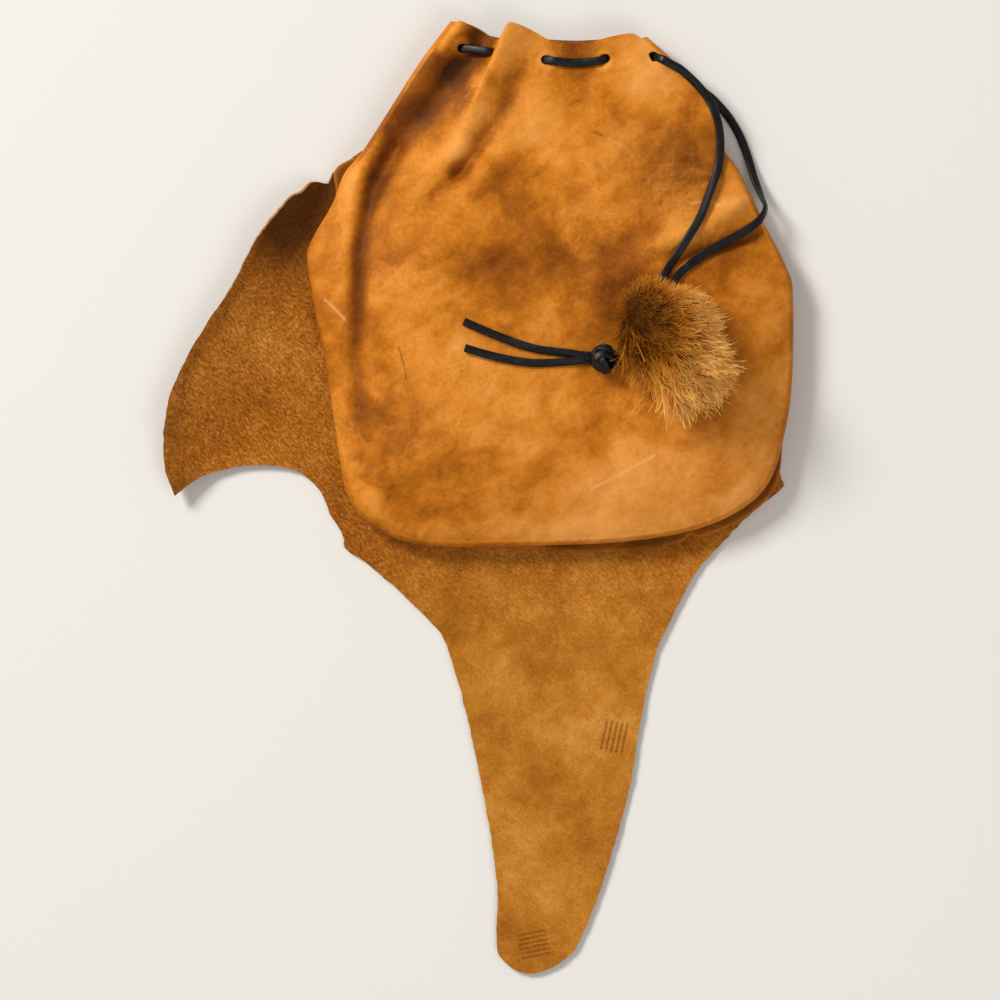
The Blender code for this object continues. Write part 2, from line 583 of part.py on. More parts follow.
def hide_backing(material, collection):
    """The raw-edged hide that the pouch lies on, cut flat and curled at its free edges."""
    outline = hide_outline_curve()
    collection.objects.link(outline)
    bpy.context.view_layer.update()
    mesh = bpy.data.meshes.new_from_object(outline.evaluated_get(bpy.context.evaluated_depsgraph_get()))
    bpy.data.objects.remove(outline, do_unlink=True)
    sheet = bmesh.new()
    sheet.from_mesh(mesh)
    bmesh.ops.remove_doubles(sheet, verts=sheet.verts, dist=MERGE_DISTANCE)
    corners = np.array([vert.co[:2] for vert in sheet.verts])
    low = corners.min(axis=0)
    high = np.array([EDGE[:, 0].min() + 2 * HIDE_CURL_WIDTH, corners[:, 1].max()])
    for axis, direction in ((0, (1, 0, 0)), (1, (0, 1, 0))):
        for cut in np.arange(low[axis] + HIDE_SLICE, high[axis], HIDE_SLICE):
            place = (cut, 0, 0) if axis == 0 else (0, cut, 0)
            geometry = sheet.verts[:] + sheet.edges[:] + sheet.faces[:]
            bmesh.ops.bisect_plane(
                sheet, geom=geometry, dist=MERGE_DISTANCE, plane_co=place, plane_no=direction)
    rise = hide_rise(np.array([vert.co[:2] for vert in sheet.verts]))
    for vert, height in zip(sheet.verts, rise):
        vert.co.z = height
    bmesh.ops.triangulate(sheet, faces=sheet.faces[:])
    flat = [face for face in sheet.faces if max(vert.co.z for vert in face.verts) == 0.0]
    bmesh.ops.dissolve_faces(sheet, faces=flat, use_verts=False)
    bmesh.ops.recalc_face_normals(sheet, faces=sheet.faces[:])
    if sum(face.normal.z * face.calc_area() for face in sheet.faces) < 0:
        bmesh.ops.reverse_faces(sheet, faces=sheet.faces[:])
    sheet.to_mesh(mesh)
    sheet.free()
    item = place_mesh("hide_backing", mesh, material, collection)
    thicken(item, HIDE_THICKNESS, 1.0)
    return item


def fur_puff(material, collection):
    """A lumpy oval puff, flattened underneath where it rests on the front panel."""
    mesh = bpy.data.meshes.new("fur_puff")
    ball = bmesh.new()
    bmesh.ops.create_icosphere(ball, subdivisions=4, radius=1.0)
    unit = np.array([vert.co[:] for vert in ball.verts])
    lumps = 1 + PUFF_LUMP_HEIGHT / (PUFF_WIDTH / 2) * (
        np.sin(5 * unit[:, 0] + 2 * unit[:, 2]) * np.cos(4 * unit[:, 1]))
    size = np.array((PUFF_LENGTH, PUFF_WIDTH, PUFF_HEIGHT)) / 2
    local = unit * size * lumps[:, None]
    turn = np.radians(PUFF_TURN_DEGREES)
    middle = on_pouch([PUFF_PLACE])[0]
    x = middle[0] + local[:, 0] * np.cos(turn) - local[:, 1] * np.sin(turn)
    y = middle[1] + local[:, 0] * np.sin(turn) + local[:, 1] * np.cos(turn)
    rest = front_height(np.column_stack([x, y])) + SEAT_GAP + LACE_LAY_GAP / 2
    centre = front_height(middle[None])[0] + PUFF_CENTRE_SHARE * PUFF_HEIGHT
    z = np.maximum(centre + local[:, 2], rest)
    for vert, place in zip(ball.verts, np.column_stack([x, y, z])):
        vert.co = place
    ball.to_mesh(mesh)
    ball.free()
    return place_mesh("fur_puff", mesh, material, collection), np.column_stack([x, y, z])


def drawstring_knot(puff_points, material, collection):
    """The knot, a turned lump with two wraps, seated against the puff's side on the leather."""
    side = KNOT_SIDE * POUCH_LENGTH
    near = np.abs(puff_points[:, 1] - side) < KNOT_DIAMETER
    right = puff_points[near, 0].min() - SEAT_GAP
    middle = np.array([right - KNOT_LENGTH / 2, side])
    rest = height_on_front(middle[None], KNOT_DIAMETER / 2 + SEAT_GAP)[0]
    wraps = ((-0.5, 0.0), (-0.5, 0.55), (-0.42, 0.82), (-0.25, 1.0), (-0.08, 0.9), (0.0, 0.8),
             (0.08, 0.9), (0.25, 1.0), (0.42, 0.82), (0.5, 0.55), (0.5, 0.0))
    mesh = bpy.data.meshes.new("drawstring_knot")
    mesh.from_pydata(
        [(0.0, share * KNOT_DIAMETER / 2, -along * KNOT_LENGTH) for along, share in wraps],
        [(step, step + 1) for step in range(len(wraps) - 1)], [])
    item = place_mesh("drawstring_knot", mesh, material, collection)
    turned = item.modifiers.new("turned_wraps", "SCREW")
    turned.axis = "Z"
    turned.angle = 2 * np.pi
    turned.steps = 16
    turned.render_steps = 16
    turned.use_merge_vertices = True
    turned.merge_threshold = MERGE_DISTANCE
    item.rotation_euler = (0.0, np.pi / 2, 0.0)
    item.location = (middle[0], middle[1], rest)
    return item, np.array([middle[0], middle[1], rest])


def build():
    clear_scene()
    parts = new_collection("leather_drawstring_pouch")
    cutters = new_collection("cutters")
    grain_leather = new_material("orange_tan_grain_leather", (0.62, 0.26, 0.05), 0.42)
    back_leather = new_material("back_panel_grain_leather", (0.56, 0.23, 0.05), 0.45)
    suede = new_material("raw_hide_suede", (0.46, 0.22, 0.06), 0.95)
    black_lace = new_material("black_leather_lace", (0.012, 0.011, 0.012), 0.4)
    brown_fur = new_material("brown_fur", (0.24, 0.14, 0.06), 0.9)

    front = loft("pouch_front_panel", panel_rows(front_half_row), grain_leather, parts, True)
    back = loft("pouch_back_panel", panel_rows(back_half_row), back_leather, parts, False)
    for panel in (front, back):
        thicken(panel, LEATHER_THICKNESS, -1.0)
    hide = hide_backing(suede, parts)

    neck_route = neck_run_route()
    neck_run = lace_tube("drawstring_neck_run", neck_route, LACE_DIAMETER, black_lace, parts)
    neck_cutter = lace_cutter("lace_holes", neck_route, LACE_HOLE_CLEARANCE, black_lace, cutters)
    for panel in (front, back):
        cut_away(panel, neck_cutter)

    puff, puff_points = fur_puff(brown_fur, parts)
    knot, knot_centre = drawstring_knot(puff_points, black_lace, parts)
    side_step = np.array([0.0, LACE_STAND_OFF, 0.0])
    knot_reach = np.array([KNOT_LENGTH / 2 + SEAT_GAP, 0.0, 0.0])
    knot_run = np.array([LACE_POINT_SPACING, 0.0, 0.0])
    pieces = [front, back, hide, neck_run, puff, knot]
    for side, tail_side, free, held, tail, step, neck_end, neck_next in (
        ("inner", "upper", INNER_STRAND, INNER_STRAND_IN_PUFF, UPPER_TAIL, side_step, *neck_route[:2]),
        ("outer", "lower", OUTER_STRAND, OUTER_STRAND_IN_PUFF, LOWER_TAIL, -side_step, *neck_route[:-3:-1]),
    ):
        onward = (neck_end - neck_next) / np.linalg.norm(neck_end - neck_next)
        begin = (neck_end + onward * SEAT_GAP, neck_end + onward * LACE_POINT_SPACING)
        plan = on_pouch(held)
        inside = np.column_stack([plan, np.full(len(plan), knot_centre[2])])
        right_side = knot_centre + knot_reach + step
        route = lying_route(free, before=begin, after=(inside, right_side + knot_run, right_side))
        strand_name = "drawstring_" + side + "_strand"
        pieces.append(lace_tube(strand_name, route, LACE_DIAMETER, black_lace, parts))
        bore = lace_cutter(side + "_puff_bore", route, PUFF_BORE_CLEARANCE, black_lace, cutters)
        cut_away(puff, bore)
        left_side = knot_centre - knot_reach + step
        tail_route = lying_route(tail, before=(left_side, left_side - knot_run))
        tail_name = "drawstring_" + tail_side + "_tail"
        pieces.append(lace_tube(tail_name, tail_route, LACE_DIAMETER, black_lace, parts))

    centre_on_origin(pieces, list(cutters.objects), (front, back, hide))


def centre_on_origin(pieces, cutters, sized_by):
    """Parents everything to one empty, so that the pouch and hide are centred in plan."""
    bpy.context.view_layer.update()
    corners = []
    for item in sized_by:
        seen = item.evaluated_get(bpy.context.evaluated_depsgraph_get())
        mesh = seen.to_mesh()
        corners += [item.matrix_world @ vert.co for vert in mesh.vertices]
        seen.to_mesh_clear()
    middle_x = (min(c.x for c in corners) + max(c.x for c in corners)) / 2
    middle_y = (min(c.y for c in corners) + max(c.y for c in corners)) / 2
    base = bpy.data.objects.new("pouch_base", None)
    bpy.context.scene.collection.objects.link(base)
    base.location = (-middle_x, -middle_y, 0.0)
    for item in pieces + cutters:
        item.parent = base


build()
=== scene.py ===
"""Looks of a leather drawstring pouch that lies on its raw hide piece, seen from straight above.

Points given in pairs are millimetres in plan, measured from the pouch's middle line and its
bottom edge: x to the right, y towards the neck.
"""

import bmesh
import bpy
import numpy as np
from mathutils import Matrix, Vector, kdtree, noise
from mathutils.bvhtree import BVHTree
from mathutils.geometry import delaunay_2d_cdt


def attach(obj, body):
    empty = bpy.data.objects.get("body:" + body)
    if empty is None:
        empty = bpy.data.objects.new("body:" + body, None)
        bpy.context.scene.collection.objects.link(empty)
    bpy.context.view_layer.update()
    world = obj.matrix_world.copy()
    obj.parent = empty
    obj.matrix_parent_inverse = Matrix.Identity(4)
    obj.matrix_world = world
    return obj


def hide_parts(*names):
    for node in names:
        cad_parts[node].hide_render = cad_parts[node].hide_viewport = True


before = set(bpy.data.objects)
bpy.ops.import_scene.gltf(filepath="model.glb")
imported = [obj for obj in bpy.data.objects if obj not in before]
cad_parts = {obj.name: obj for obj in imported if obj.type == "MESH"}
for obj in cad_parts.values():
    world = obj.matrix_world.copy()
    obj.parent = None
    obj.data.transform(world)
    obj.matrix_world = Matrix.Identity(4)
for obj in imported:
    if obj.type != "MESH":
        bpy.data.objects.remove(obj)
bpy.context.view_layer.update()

MM = 0.001

# Camera: it looks straight down, and a picture 0.5 m wide is seen at the leather's height.
VIEW_WIDTH = 0.5
VIEW_HEIGHT = 3.0
LEATHER_LEVEL = 0.010
VIEW_CENTRE = (0.0109, -0.0003)
SENSOR_WIDTH = 36.0

lens = bpy.data.cameras.new("camera")
lens.sensor_width = SENSOR_WIDTH
lens.lens = SENSOR_WIDTH * VIEW_HEIGHT / VIEW_WIDTH
camera = bpy.data.objects.new("camera", lens)
camera.location = (*VIEW_CENTRE, VIEW_HEIGHT + LEATHER_LEVEL)
bpy.context.scene.collection.objects.link(camera)
bpy.context.scene.camera = camera
bpy.context.scene.view_settings.view_transform = "Standard"


# Floor: a plain pale studio table, painted smooth and matt.
FLOOR_SIZE = 12.0
FLOOR_DROP = 0.0002
FLOOR_COLOUR = "#E2DED7"


def linear(hex_colour):
    """Linear red, green, blue and alpha of an sRGB hex colour."""
    parts = [int(hex_colour[i:i + 2], 16) / 255 for i in (1, 3, 5)]
    return (*[p / 12.92 if p <= 0.04045 else ((p + 0.055) / 1.055) ** 2.4 for p in parts], 1.0)


def connect(tree, node, links):
    """Links a node's inputs to outputs, or to a node's first output, or sets them to values."""
    for socket, value in links.items():
        if isinstance(value, bpy.types.Node):
            value = value.outputs[0]
        if isinstance(value, bpy.types.NodeSocket):
            tree.links.new(value, node.inputs[socket])
        else:
            node.inputs[socket].default_value = value


def add_node(tree, kind, links=None, **settings):
    """A node with its settings, and its inputs linked or set."""
    node = tree.nodes.new(kind)
    for name, value in settings.items():
        setattr(node, name, value)
    connect(tree, node, links or {})
    return node


def new_finish(name):
    """A material, its node tree and its shader."""
    finish = bpy.data.materials.new(name)
    finish.use_nodes = True
    return finish, finish.node_tree, finish.node_tree.nodes["Principled BSDF"]


floor_paint, tree, shader = new_finish("matt_table_paint")
connect(tree, shader, {
    "Base Color": linear(FLOOR_COLOUR), "Roughness": 0.9, "Specular IOR Level": 0.2})
bpy.ops.mesh.primitive_plane_add(size=FLOOR_SIZE, location=(0, 0, -FLOOR_DROP))
floor = bpy.context.object
floor.name = "floor"
floor.data.materials.append(floor_paint)

# Light: one large soft lamp from the upper left, as at a window, and a weak even sky.
SKY_COLOUR = (1.0, 0.98, 0.95, 1.0)
SKY_STRENGTH = 0.40

for name, spot, size, power in (
    ("window_lamp", (-2.3, 2.0, 2.3), 1.1, 142.0),
    ("fill_lamp", (0.9, -0.9, 1.6), 1.2, 9.0),
):
    lamp = bpy.data.lights.new(name, "AREA")
    lamp.size = size
    lamp.energy = power
    item = bpy.data.objects.new(name, lamp)
    item.location = spot
    item.rotation_euler = (-Vector(spot)).to_track_quat("-Z", "Y").to_euler()
    bpy.context.scene.collection.objects.link(item)

sky = bpy.data.worlds.new("even_sky")
bpy.context.scene.world = sky
sky.use_nodes = True
connect(sky.node_tree, sky.node_tree.nodes["Background"], {
    "Color": SKY_COLOUR, "Strength": SKY_STRENGTH})


# Raw hide: a leftover piece of the same vegetable-tanned cowhide, 1.8 mm thick, suede side up,
# cut by hand with a raw edge. It lies loose on the table under the pouch, and its free left
# wing lifts towards the light. Two marks were pressed into the suede by a ridged clamp.
ORIGIN = np.array((35.911, -24.258)) * MM
HIDE_THICKNESS = 1.8 * MM
HIDE_SPACING = 1.7 * MM
POUCH_LEFT = (
    (-49.8, 263.0), (-64.9, 243.0), (-80.9, 218.0), (-94.0, 198.0), (-103.0, 187.0),
    (-108.6, 172.5), (-119.6, 153.1), (-121.5, 143.1), (-117.6, 118.9), (-112.5, 93.9),
    (-107.4, 58.9), (-102.5, 30.0), (-94.0, 15.0), (-75.1, 3.9), (-50.1, 0.5), (-5.1, 1.1),
)
POUCH_RIGHT = (
    (48.4, 255.4), (61.0, 244.1), (73.4, 230.1), (82.6, 216.4), (87.0, 199.1), (94.0, 189.1),
    (107.4, 161.5), (119.1, 138.1), (121.5, 123.9), (121.0, 83.9), (117.6, 58.9),
    (110.1, 33.9), (95.0, 18.9), (70.0, 8.4), (35.0, 2.9), (-5.1, 1.1),
)
HIDE_OUTLINE = (
    ((-94.6, 199.1), (-101.4, 194.1), (-108.0, 187.9), (-111.1, 182.6)),
    ((-111.1, 182.6), (-116.1, 183.0), (-119.5, 182.2), (-124.5, 177.6), (-130.1, 174.3),
     (-140.9, 161.9), (-150.0, 147.9), (-159.0, 130.2), (-170.5, 113.7), (-182.0, 94.3),
     (-190.1, 76.1), (-193.5, 50.9), (-191.6, 35.6), (-187.9, 26.1)),
    ((-187.9, 26.1), (-180.1, 31.9), (-170.5, 37.3), (-153.4, 41.0), (-136.0, 41.0),
     (-124.5, 37.3), (-115.4, 29.0), (-110.2, 17.1), (-103.6, 5.9), (-102.4, -0.3),
     (-92.1, -7.3), (-75.6, -21.7), (-61.9, -35.3), (-53.9, -44.4), (-48.0, -60.5),
     (-41.4, -85.3), (-33.0, -125.3), (-26.5, -167.4), (-26.5, -198.8), (-21.5, -208.7),
     (-11.9, -213.2), (-1.6, -211.6), (7.1, -206.6), (14.9, -197.1), (26.1, -168.3),
     (38.5, -126.2), (44.1, -94.0), (48.1, -72.9), (54.1, -50.2), (64.0, -29.2),
     (74.0, -11.0), (84.8, 0.6), (97.6, 14.2), (112.5, 26.6), (117.5, 31.1)),
    ((117.5, 31.1), (114.4, 42.7), (111.9, 74.0), (111.0, 124.0), (101.0, 166.5),
     (88.9, 194.1), (86.1, 199.5)),
    ((86.1, 199.5), (45.0, 196.6), (-5.0, 199.5), (-55.1, 196.6), (-94.6, 199.1)),
)
# Lifts of the free edges: height, width, share of the height at the route's two ends, route.
HIDE_LIFTS = (
    (13.0, 24.0, 1.0, 0.45, (
        (-112, 186), (-125, 177), (-144, 161), (-162, 129), (-180, 99), (-192, 69))),
    (2.6, 4.5, 1.0, 0.7, (
        (-112, 184), (-125, 177), (-144, 158), (-162, 126), (-183, 92), (-192, 60))),
    (6.0, 14.0, 0.6, 1.0, ((-194, 62), (-188, 26))),
    (2.0, 7.0, 0.6, 0.4, ((-175, 35), (-155, 41), (-132, 41), (-118, 32))),
)
# Pressed marks: middle, turn in degrees, number of lines, their pitch and their length.
CLAMP_MARKS = (
    ((32.5, -95.0), 78.0, 5, 2.6, 16.0),
    ((-7.8, -199.0), 12.0, 6, 2.3, 15.0),
)
MARK_LINE_MM = 0.55
MARK_DEPTH_MM = 0.55
MARK_MESH_MM = np.arange(-11, 11, 0.45)
EDGE_SPACING = 1.3 * MM
CUT_SPACING = 1.0 * MM
RAGGED_MM = 0.45
NAP_MM = 0.12
HIDE_RIPPLE = 0.5 * MM


def place(pairs):
    """World plan points, in metres, of pairs in millimetres."""
    return np.asarray(pairs, dtype=float) * MM + ORIGIN


def smooth_path(points, per_span=8):
    """Points on a smooth curve through all the given points, ends included."""
    known = np.asarray(points, dtype=float)
    ring = np.vstack([2 * known[0] - known[1], known, 2 * known[-1] - known[-2]])
    share = np.linspace(0.0, 1.0, per_span, endpoint=False)[:, None]
    spans = []
    for before, start, end, after in zip(ring[:-3], ring[1:-2], ring[2:-1], ring[3:]):
        pull = (end - before) * share
        bend = (2 * before - 5 * start + 4 * end - after) * share ** 2
        twist = (3 * start - before - 3 * end + after) * share ** 3
        spans.append(start + 0.5 * (pull + bend + twist))
    return np.vstack([*spans, known[-1:]])


def spread_evenly(path, spacing):
    """Points along a path, about the given distance apart."""
    along = np.concatenate([[0.0], np.cumsum(np.linalg.norm(np.diff(path, axis=0), axis=1))])
    wanted = np.linspace(0.0, along[-1], max(2, round(along[-1] / spacing) + 1))
    return np.stack([np.interp(wanted, along, column) for column in path.T], axis=1)


def ease(value, start, end):
    """A smooth step from 0 at start to 1 at end."""
    share = np.clip((value - start) / (end - start), 0.0, 1.0)
    return share * share * (3 - 2 * share)


def nearest_on_path(points, path):
    """Distance of each plan point from a path, how far along it that is, and on which side."""
    distance = np.empty(len(points))
    along = np.empty(len(points))
    side = np.empty((len(points), 2))
    start, run = path[:-1], path[1:] - path[:-1]
    length_squared = np.maximum((run * run).sum(1), 1e-18)
    chunk = 4000
    for first in range(0, len(points), chunk):
        part = slice(first, first + chunk)
        some = points[part]
        reach = some[:, None] - start[None]
        share = np.clip((reach * run).sum(2) / length_squared, 0.0, 1.0)
        gap = reach - share[..., None] * run
        span = np.linalg.norm(gap, axis=2)
        best = span.argmin(axis=1)
        row = np.arange(len(some))
        distance[part] = span[row, best]
        along[part] = (best + share[row, best]) / len(run)
        normal = np.stack([-run[best, 1], run[best, 0]], axis=1)
        side[part] = normal / np.linalg.norm(normal, axis=1)[:, None]
    return distance, along, side


def local_x(points):
    """Plan points' distances across the pouch, in millimetres."""
    return (points[:, 0] - ORIGIN[0]) / MM


def local_y(points):
    """Plan points' distances along the pouch, in millimetres."""
    return (points[:, 1] - ORIGIN[1]) / MM


def relief(points, folds):
    """Height, in metres, that ridges and valleys along their routes add at plan points."""
    rise = np.zeros(len(points))
    for height, width, start, end, route in folds:
        distance, along, _ = nearest_on_path(points, smooth_path(place(route), 6))
        strength = height * (start + (end - start) * along)
        rise += strength * MM * np.exp(-(distance / (width * MM)) ** 2)
    return rise


def wander(points, size, seed, depth=3):
    """Smooth random values from about -1 to 1 at plan points, with features of a given size."""
    shift = Vector((seed * 7.31, seed * 3.17, seed * 1.93))
    return np.array([
        noise.fractal(Vector((x / size, y / size, 0)) + shift, 1.0, 2.0, depth) for x, y in points])


def is_inside(points, outline):
    """Whether plan points lie inside a closed outline."""
    inside = np.zeros(len(points), dtype=bool)
    for start, end in zip(outline, np.roll(outline, -1, axis=0)):
        if start[1] != end[1]:
            straddles = (start[1] > points[:, 1]) != (end[1] > points[:, 1])
            crossing = start[0] + (points[:, 1] - start[1]) / (end[1] - start[1]) * (end[0] - start[0])
            inside ^= straddles & (points[:, 0] < crossing)
    return inside


def filled_outline(outline, spacing, extra=()):
    """Plan points and triangles that fill a closed outline: the outline's points come first."""
    low, high = outline.min(axis=0), outline.max(axis=0)
    row_gap = spacing * 0.866
    grid = []
    for row, y in enumerate(np.arange(low[1], high[1], row_gap)):
        x = np.arange(low[0] + (row % 2) * spacing / 2, high[0], spacing)
        grid.append(np.column_stack([x, np.full(len(x), y)]))
    inner = np.vstack([*grid, *extra])
    tree = kdtree.KDTree(len(outline))
    for index, point in enumerate(outline):
        tree.insert((*point, 0.0), index)
    tree.balance()
    clear = np.array([tree.find((*point, 0.0))[2] > spacing * 0.55 for point in inner])
    inner = inner[clear]
    inner = inner[is_inside(inner, outline)]
    points = np.vstack([outline, inner])
    middle = points.mean(axis=0)
    found = delaunay_2d_cdt(
        [Vector(p) for p in points - middle], [], [list(range(len(outline)))], 1, 1e-7)
    order = [same[0] for same in found[3]]
    triangles = np.array([[order[corner] for corner in face] for face in found[2]])
    return points, triangles


def leather_piece(name, points, faces, thickness, finishes):
    """A leather piece from its outer face: the wall goes inwards, and its cut edge and flesh
    side take the second finish."""
    mesh = bpy.data.meshes.new(name)
    mesh.from_pydata([tuple(p) for p in points], [], [tuple(f) for f in faces])
    for finish in finishes:
        mesh.materials.append(finish)
    item = bpy.data.objects.new(name, mesh)
    bpy.context.scene.collection.objects.link(item)
    wall = item.modifiers.new("leather_thickness", "SOLIDIFY")
    wall.thickness = thickness
    wall.offset = -1.0
    wall.material_offset = 1
    wall.material_offset_rim = 1
    return item


def finished_mesh(item):
    """Applies an object's modifiers to its mesh and shades it smooth."""
    bpy.context.view_layer.update()
    seen = item.evaluated_get(bpy.context.evaluated_depsgraph_get())
    item.data = bpy.data.meshes.new_from_object(seen)
    item.modifiers.clear()
    item.data.shade_smooth()
    item.data.set_sharp_from_angle(angle=np.radians(50))
    return item


def paint(item, name, values):
    """Stores one number for each point of a mesh."""
    layer = item.data.attributes.new(name, "FLOAT", "POINT")
    layer.data.foreach_set("value", np.asarray(values, dtype=np.float32))


def colour_stops(ramp, stops):
    """Sets a colour ramp's stops from pairs of position and hex colour."""
    elements = ramp.color_ramp.elements
    while len(elements) < len(stops):
        elements.new(0.5)
    for element, (position, colour) in zip(elements, stops):
        element.position = position
        element.color = linear(colour)


pouch_edge = np.vstack([
    spread_evenly(smooth_path(place(POUCH_LEFT)), EDGE_SPACING),
    spread_evenly(smooth_path(place(POUCH_RIGHT)), EDGE_SPACING)[-2::-1],
])

# Suede: the split flesh side of the hide, brushed to a nap. Matt, with patches where the nap
# lies another way and looks darker or lighter, and a coarse felted grain.
NAP_GRAIN = 1.1 * MM
NAP_PATCH = 9.0 * MM
SUEDE_TONE = 45.0 * MM

suede, tree, shader = new_finish("brushed_suede")
where = add_node(tree, "ShaderNodeTexCoord").outputs["Object"]
tone = add_node(tree, "ShaderNodeTexNoise", {"Vector": where, "Scale": 1 / SUEDE_TONE, "Detail": 3.0})
patch = add_node(tree, "ShaderNodeTexNoise", {
    "Vector": where, "Scale": 1 / NAP_PATCH, "Detail": 4.0, "Roughness": 0.6, "Distortion": 0.4})
brushed = add_node(tree, "ShaderNodeMapping", {
    "Vector": where, "Rotation": (0.0, 0.0, -0.75), "Scale": (1.9, 0.8, 1.0)}, vector_type="TEXTURE")
grain = add_node(tree, "ShaderNodeTexNoise", {
    "Vector": brushed, "Scale": 1 / NAP_GRAIN, "Detail": 3.0, "Roughness": 0.65,
    "Distortion": 0.6})
tone = add_node(tree, "ShaderNodeMix", {0: 0.40, 2: tone, 3: patch})
coarse = add_node(tree, "ShaderNodeAttribute", attribute_name="coarse")
share = add_node(tree, "ShaderNodeMapRange", {
    "Value": coarse.outputs["Fac"], "To Min": 0.30, "To Max": 0.62})
mixed = add_node(tree, "ShaderNodeMix", {0: share, 2: tone, 3: grain})
even = add_node(tree, "ShaderNodeValToRGB", {"Fac": mixed})
colour_stops(even, ((0.34, "#8C4E0E"), (0.46, "#AA681A"), (0.54, "#BE7A26"), (0.66, "#D29248")))
rough = add_node(tree, "ShaderNodeValToRGB", {"Fac": mixed})
colour_stops(rough, ((0.34, "#5E2E04"), (0.46, "#92500C"), (0.54, "#AE681A"), (0.66, "#CE9044")))
colour = add_node(tree, "ShaderNodeMix", {
    0: coarse.outputs["Fac"], 6: even, 7: rough}, data_type="RGBA")
# Pressed marks darken the suede. The second value paints shade at the wing's upper end, darkens its
# corner and outer edge, and flattens the nap's bump there.
for darkening_as, darkening_colour in (("pressed", "#7C4410"), ("burnish_and_painted_shade", "#3A1C04")):
    wear_and_painted_light = add_node(tree, "ShaderNodeAttribute", attribute_name=darkening_as)
    colour = add_node(tree, "ShaderNodeMix", {
        0: wear_and_painted_light.outputs["Fac"], 6: colour.outputs[2], 7: linear(darkening_colour)}, data_type="RGBA")
depth = add_node(tree, "ShaderNodeMapRange", {
    "Value": wear_and_painted_light.outputs["Fac"], "To Min": 0.75, "To Max": 0.15})
bump = add_node(tree, "ShaderNodeBump", {"Height": grain, "Strength": depth, "Distance": 0.0009})
bump = add_node(tree, "ShaderNodeBump", {
    "Height": patch, "Strength": 0.3, "Distance": 0.0010, "Normal": bump})
connect(tree, shader, {
    "Base Color": colour.outputs[2], "Normal": bump, "Roughness": 0.95,
    "Specular IOR Level": 0.15, "Sheen Weight": 0.15, "Sheen Roughness": 0.6,
    "Sheen Tint": linear("#E0A050")})


def raw_fibre(name, fibre_size, dark, pale):
    """Raw leather fibre, matt and felted, mottled from a dark to a pale colour."""
    finish, tree, shader = new_finish(name)
    where = add_node(tree, "ShaderNodeTexCoord").outputs["Object"]
    fibre = add_node(tree, "ShaderNodeTexNoise", {
        "Vector": where, "Scale": 1 / fibre_size, "Detail": 3.0})
    ramp = add_node(tree, "ShaderNodeValToRGB", {"Fac": fibre})
    colour_stops(ramp, ((0.35, dark), (0.65, pale)))
    bump = add_node(tree, "ShaderNodeBump", {"Height": fibre, "Strength": 0.5, "Distance": 0.0004})
    connect(tree, shader, {
        "Base Color": ramp, "Normal": bump, "Roughness": 0.9})
    return finish


# Cut edge and underside of the hide: the knife leaves pale felted fibre.
cut_edge = raw_fibre("cut_leather_edge", 0.7 * MM, "#6B3C12", "#B67C3C")


def hide_height(points):
    """Height of the hide's underside on the table."""
    distance, _, _ = nearest_on_path(points, pouch_edge[::4])
    clear = np.where(is_inside(points, pouch_edge[::2]), 0.0, distance)
    lifted = np.maximum(relief(points, HIDE_LIFTS), 0.0) * ease(clear, 2 * MM, 26 * MM)
    ripple = HIDE_RIPPLE * (1 + wander(points, 38 * MM, 3)) * ease(clear, 4 * MM, 30 * MM)
    return lifted + ripple


outline = np.vstack([
    spread_evenly(smooth_path(place(side)), CUT_SPACING)[:-1] for side in HIDE_OUTLINE])
ragged = wander(outline, 5 * MM, 11, 4)[:, None] * RAGGED_MM * MM
outward = np.roll(outline, -1, axis=0) - np.roll(outline, 1, axis=0)
outward = np.stack([outward[:, 1], -outward[:, 0]], axis=1)
outline += outward / np.linalg.norm(outward, axis=1)[:, None] * ragged
mark_mesh = np.column_stack([axis.ravel() for axis in np.meshgrid(MARK_MESH_MM, MARK_MESH_MM)])
marks = [place(np.array(centre) + mark_mesh) for centre, *_ in CLAMP_MARKS]
points, triangles = filled_outline(outline, HIDE_SPACING, marks)
pressed_in = np.zeros(len(points))
for centre, turn, lines, pitch, reach in CLAMP_MARKS:
    local = (points - place(centre)) / MM
    cos, sin = np.cos(np.radians(turn)), np.sin(np.radians(turn))
    across = local[:, 1] * cos - local[:, 0] * sin
    along = local[:, 0] * cos + local[:, 1] * sin
    nearest = np.clip(np.round(across / pitch + (lines - 1) / 2), 0, lines - 1) - (lines - 1) / 2
    line = np.exp(-((across - nearest * pitch) / MARK_LINE_MM) ** 2)
    line *= 1 - ease(np.abs(along), reach / 2 - 1, reach / 2 + 0.6)
    pressed_in = np.maximum(pressed_in, line)
height = hide_height(points) + HIDE_THICKNESS - pressed_in * MARK_DEPTH_MM * MM
height += wander(points, 3.5 * MM, 5, 2) * NAP_MM * MM
hide = leather_piece(
    "hide", np.column_stack([points, height]), triangles, HIDE_THICKNESS, (suede, cut_edge))
paint(hide, "pressed", pressed_in * 0.6)
wing = ease(-local_x(points), 40.0, 95.0)
paint(hide, "coarse", np.maximum(wing, ease(local_y(points), -60.0, 0.0) * 0.7))
# The wing's colour is painted dark at its upper end, as painted shade where it tilts away from the lamp,
# and is darker at its lower corner and along its outer edge.
painted_shade_upper_end = ease(local_y(points) + 0.25 * local_x(points) + wander(points, 16 * MM, 7) * 6, 96, 126)
painted_shade_upper_end *= ease(-local_x(points), 99.0, 107.0)
corner = 0.55 * np.exp(-(np.linalg.norm(points - place((-188, 26)), axis=1) / (14 * MM)) ** 2)
edge_gap, _, _ = nearest_on_path(points, place(HIDE_OUTLINE[1]))
dark_outer_edge = 0.35 * np.exp(-(edge_gap / (7 * MM)) ** 2)
overlay = np.maximum(painted_shade_upper_end * 0.82, np.maximum(corner, dark_outer_edge))
paint(hide, "burnish_and_painted_shade", np.clip(overlay, 0, 0.85) * wing)
hide = finished_mesh(hide)
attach(hide, "root")
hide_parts("hide_backing")


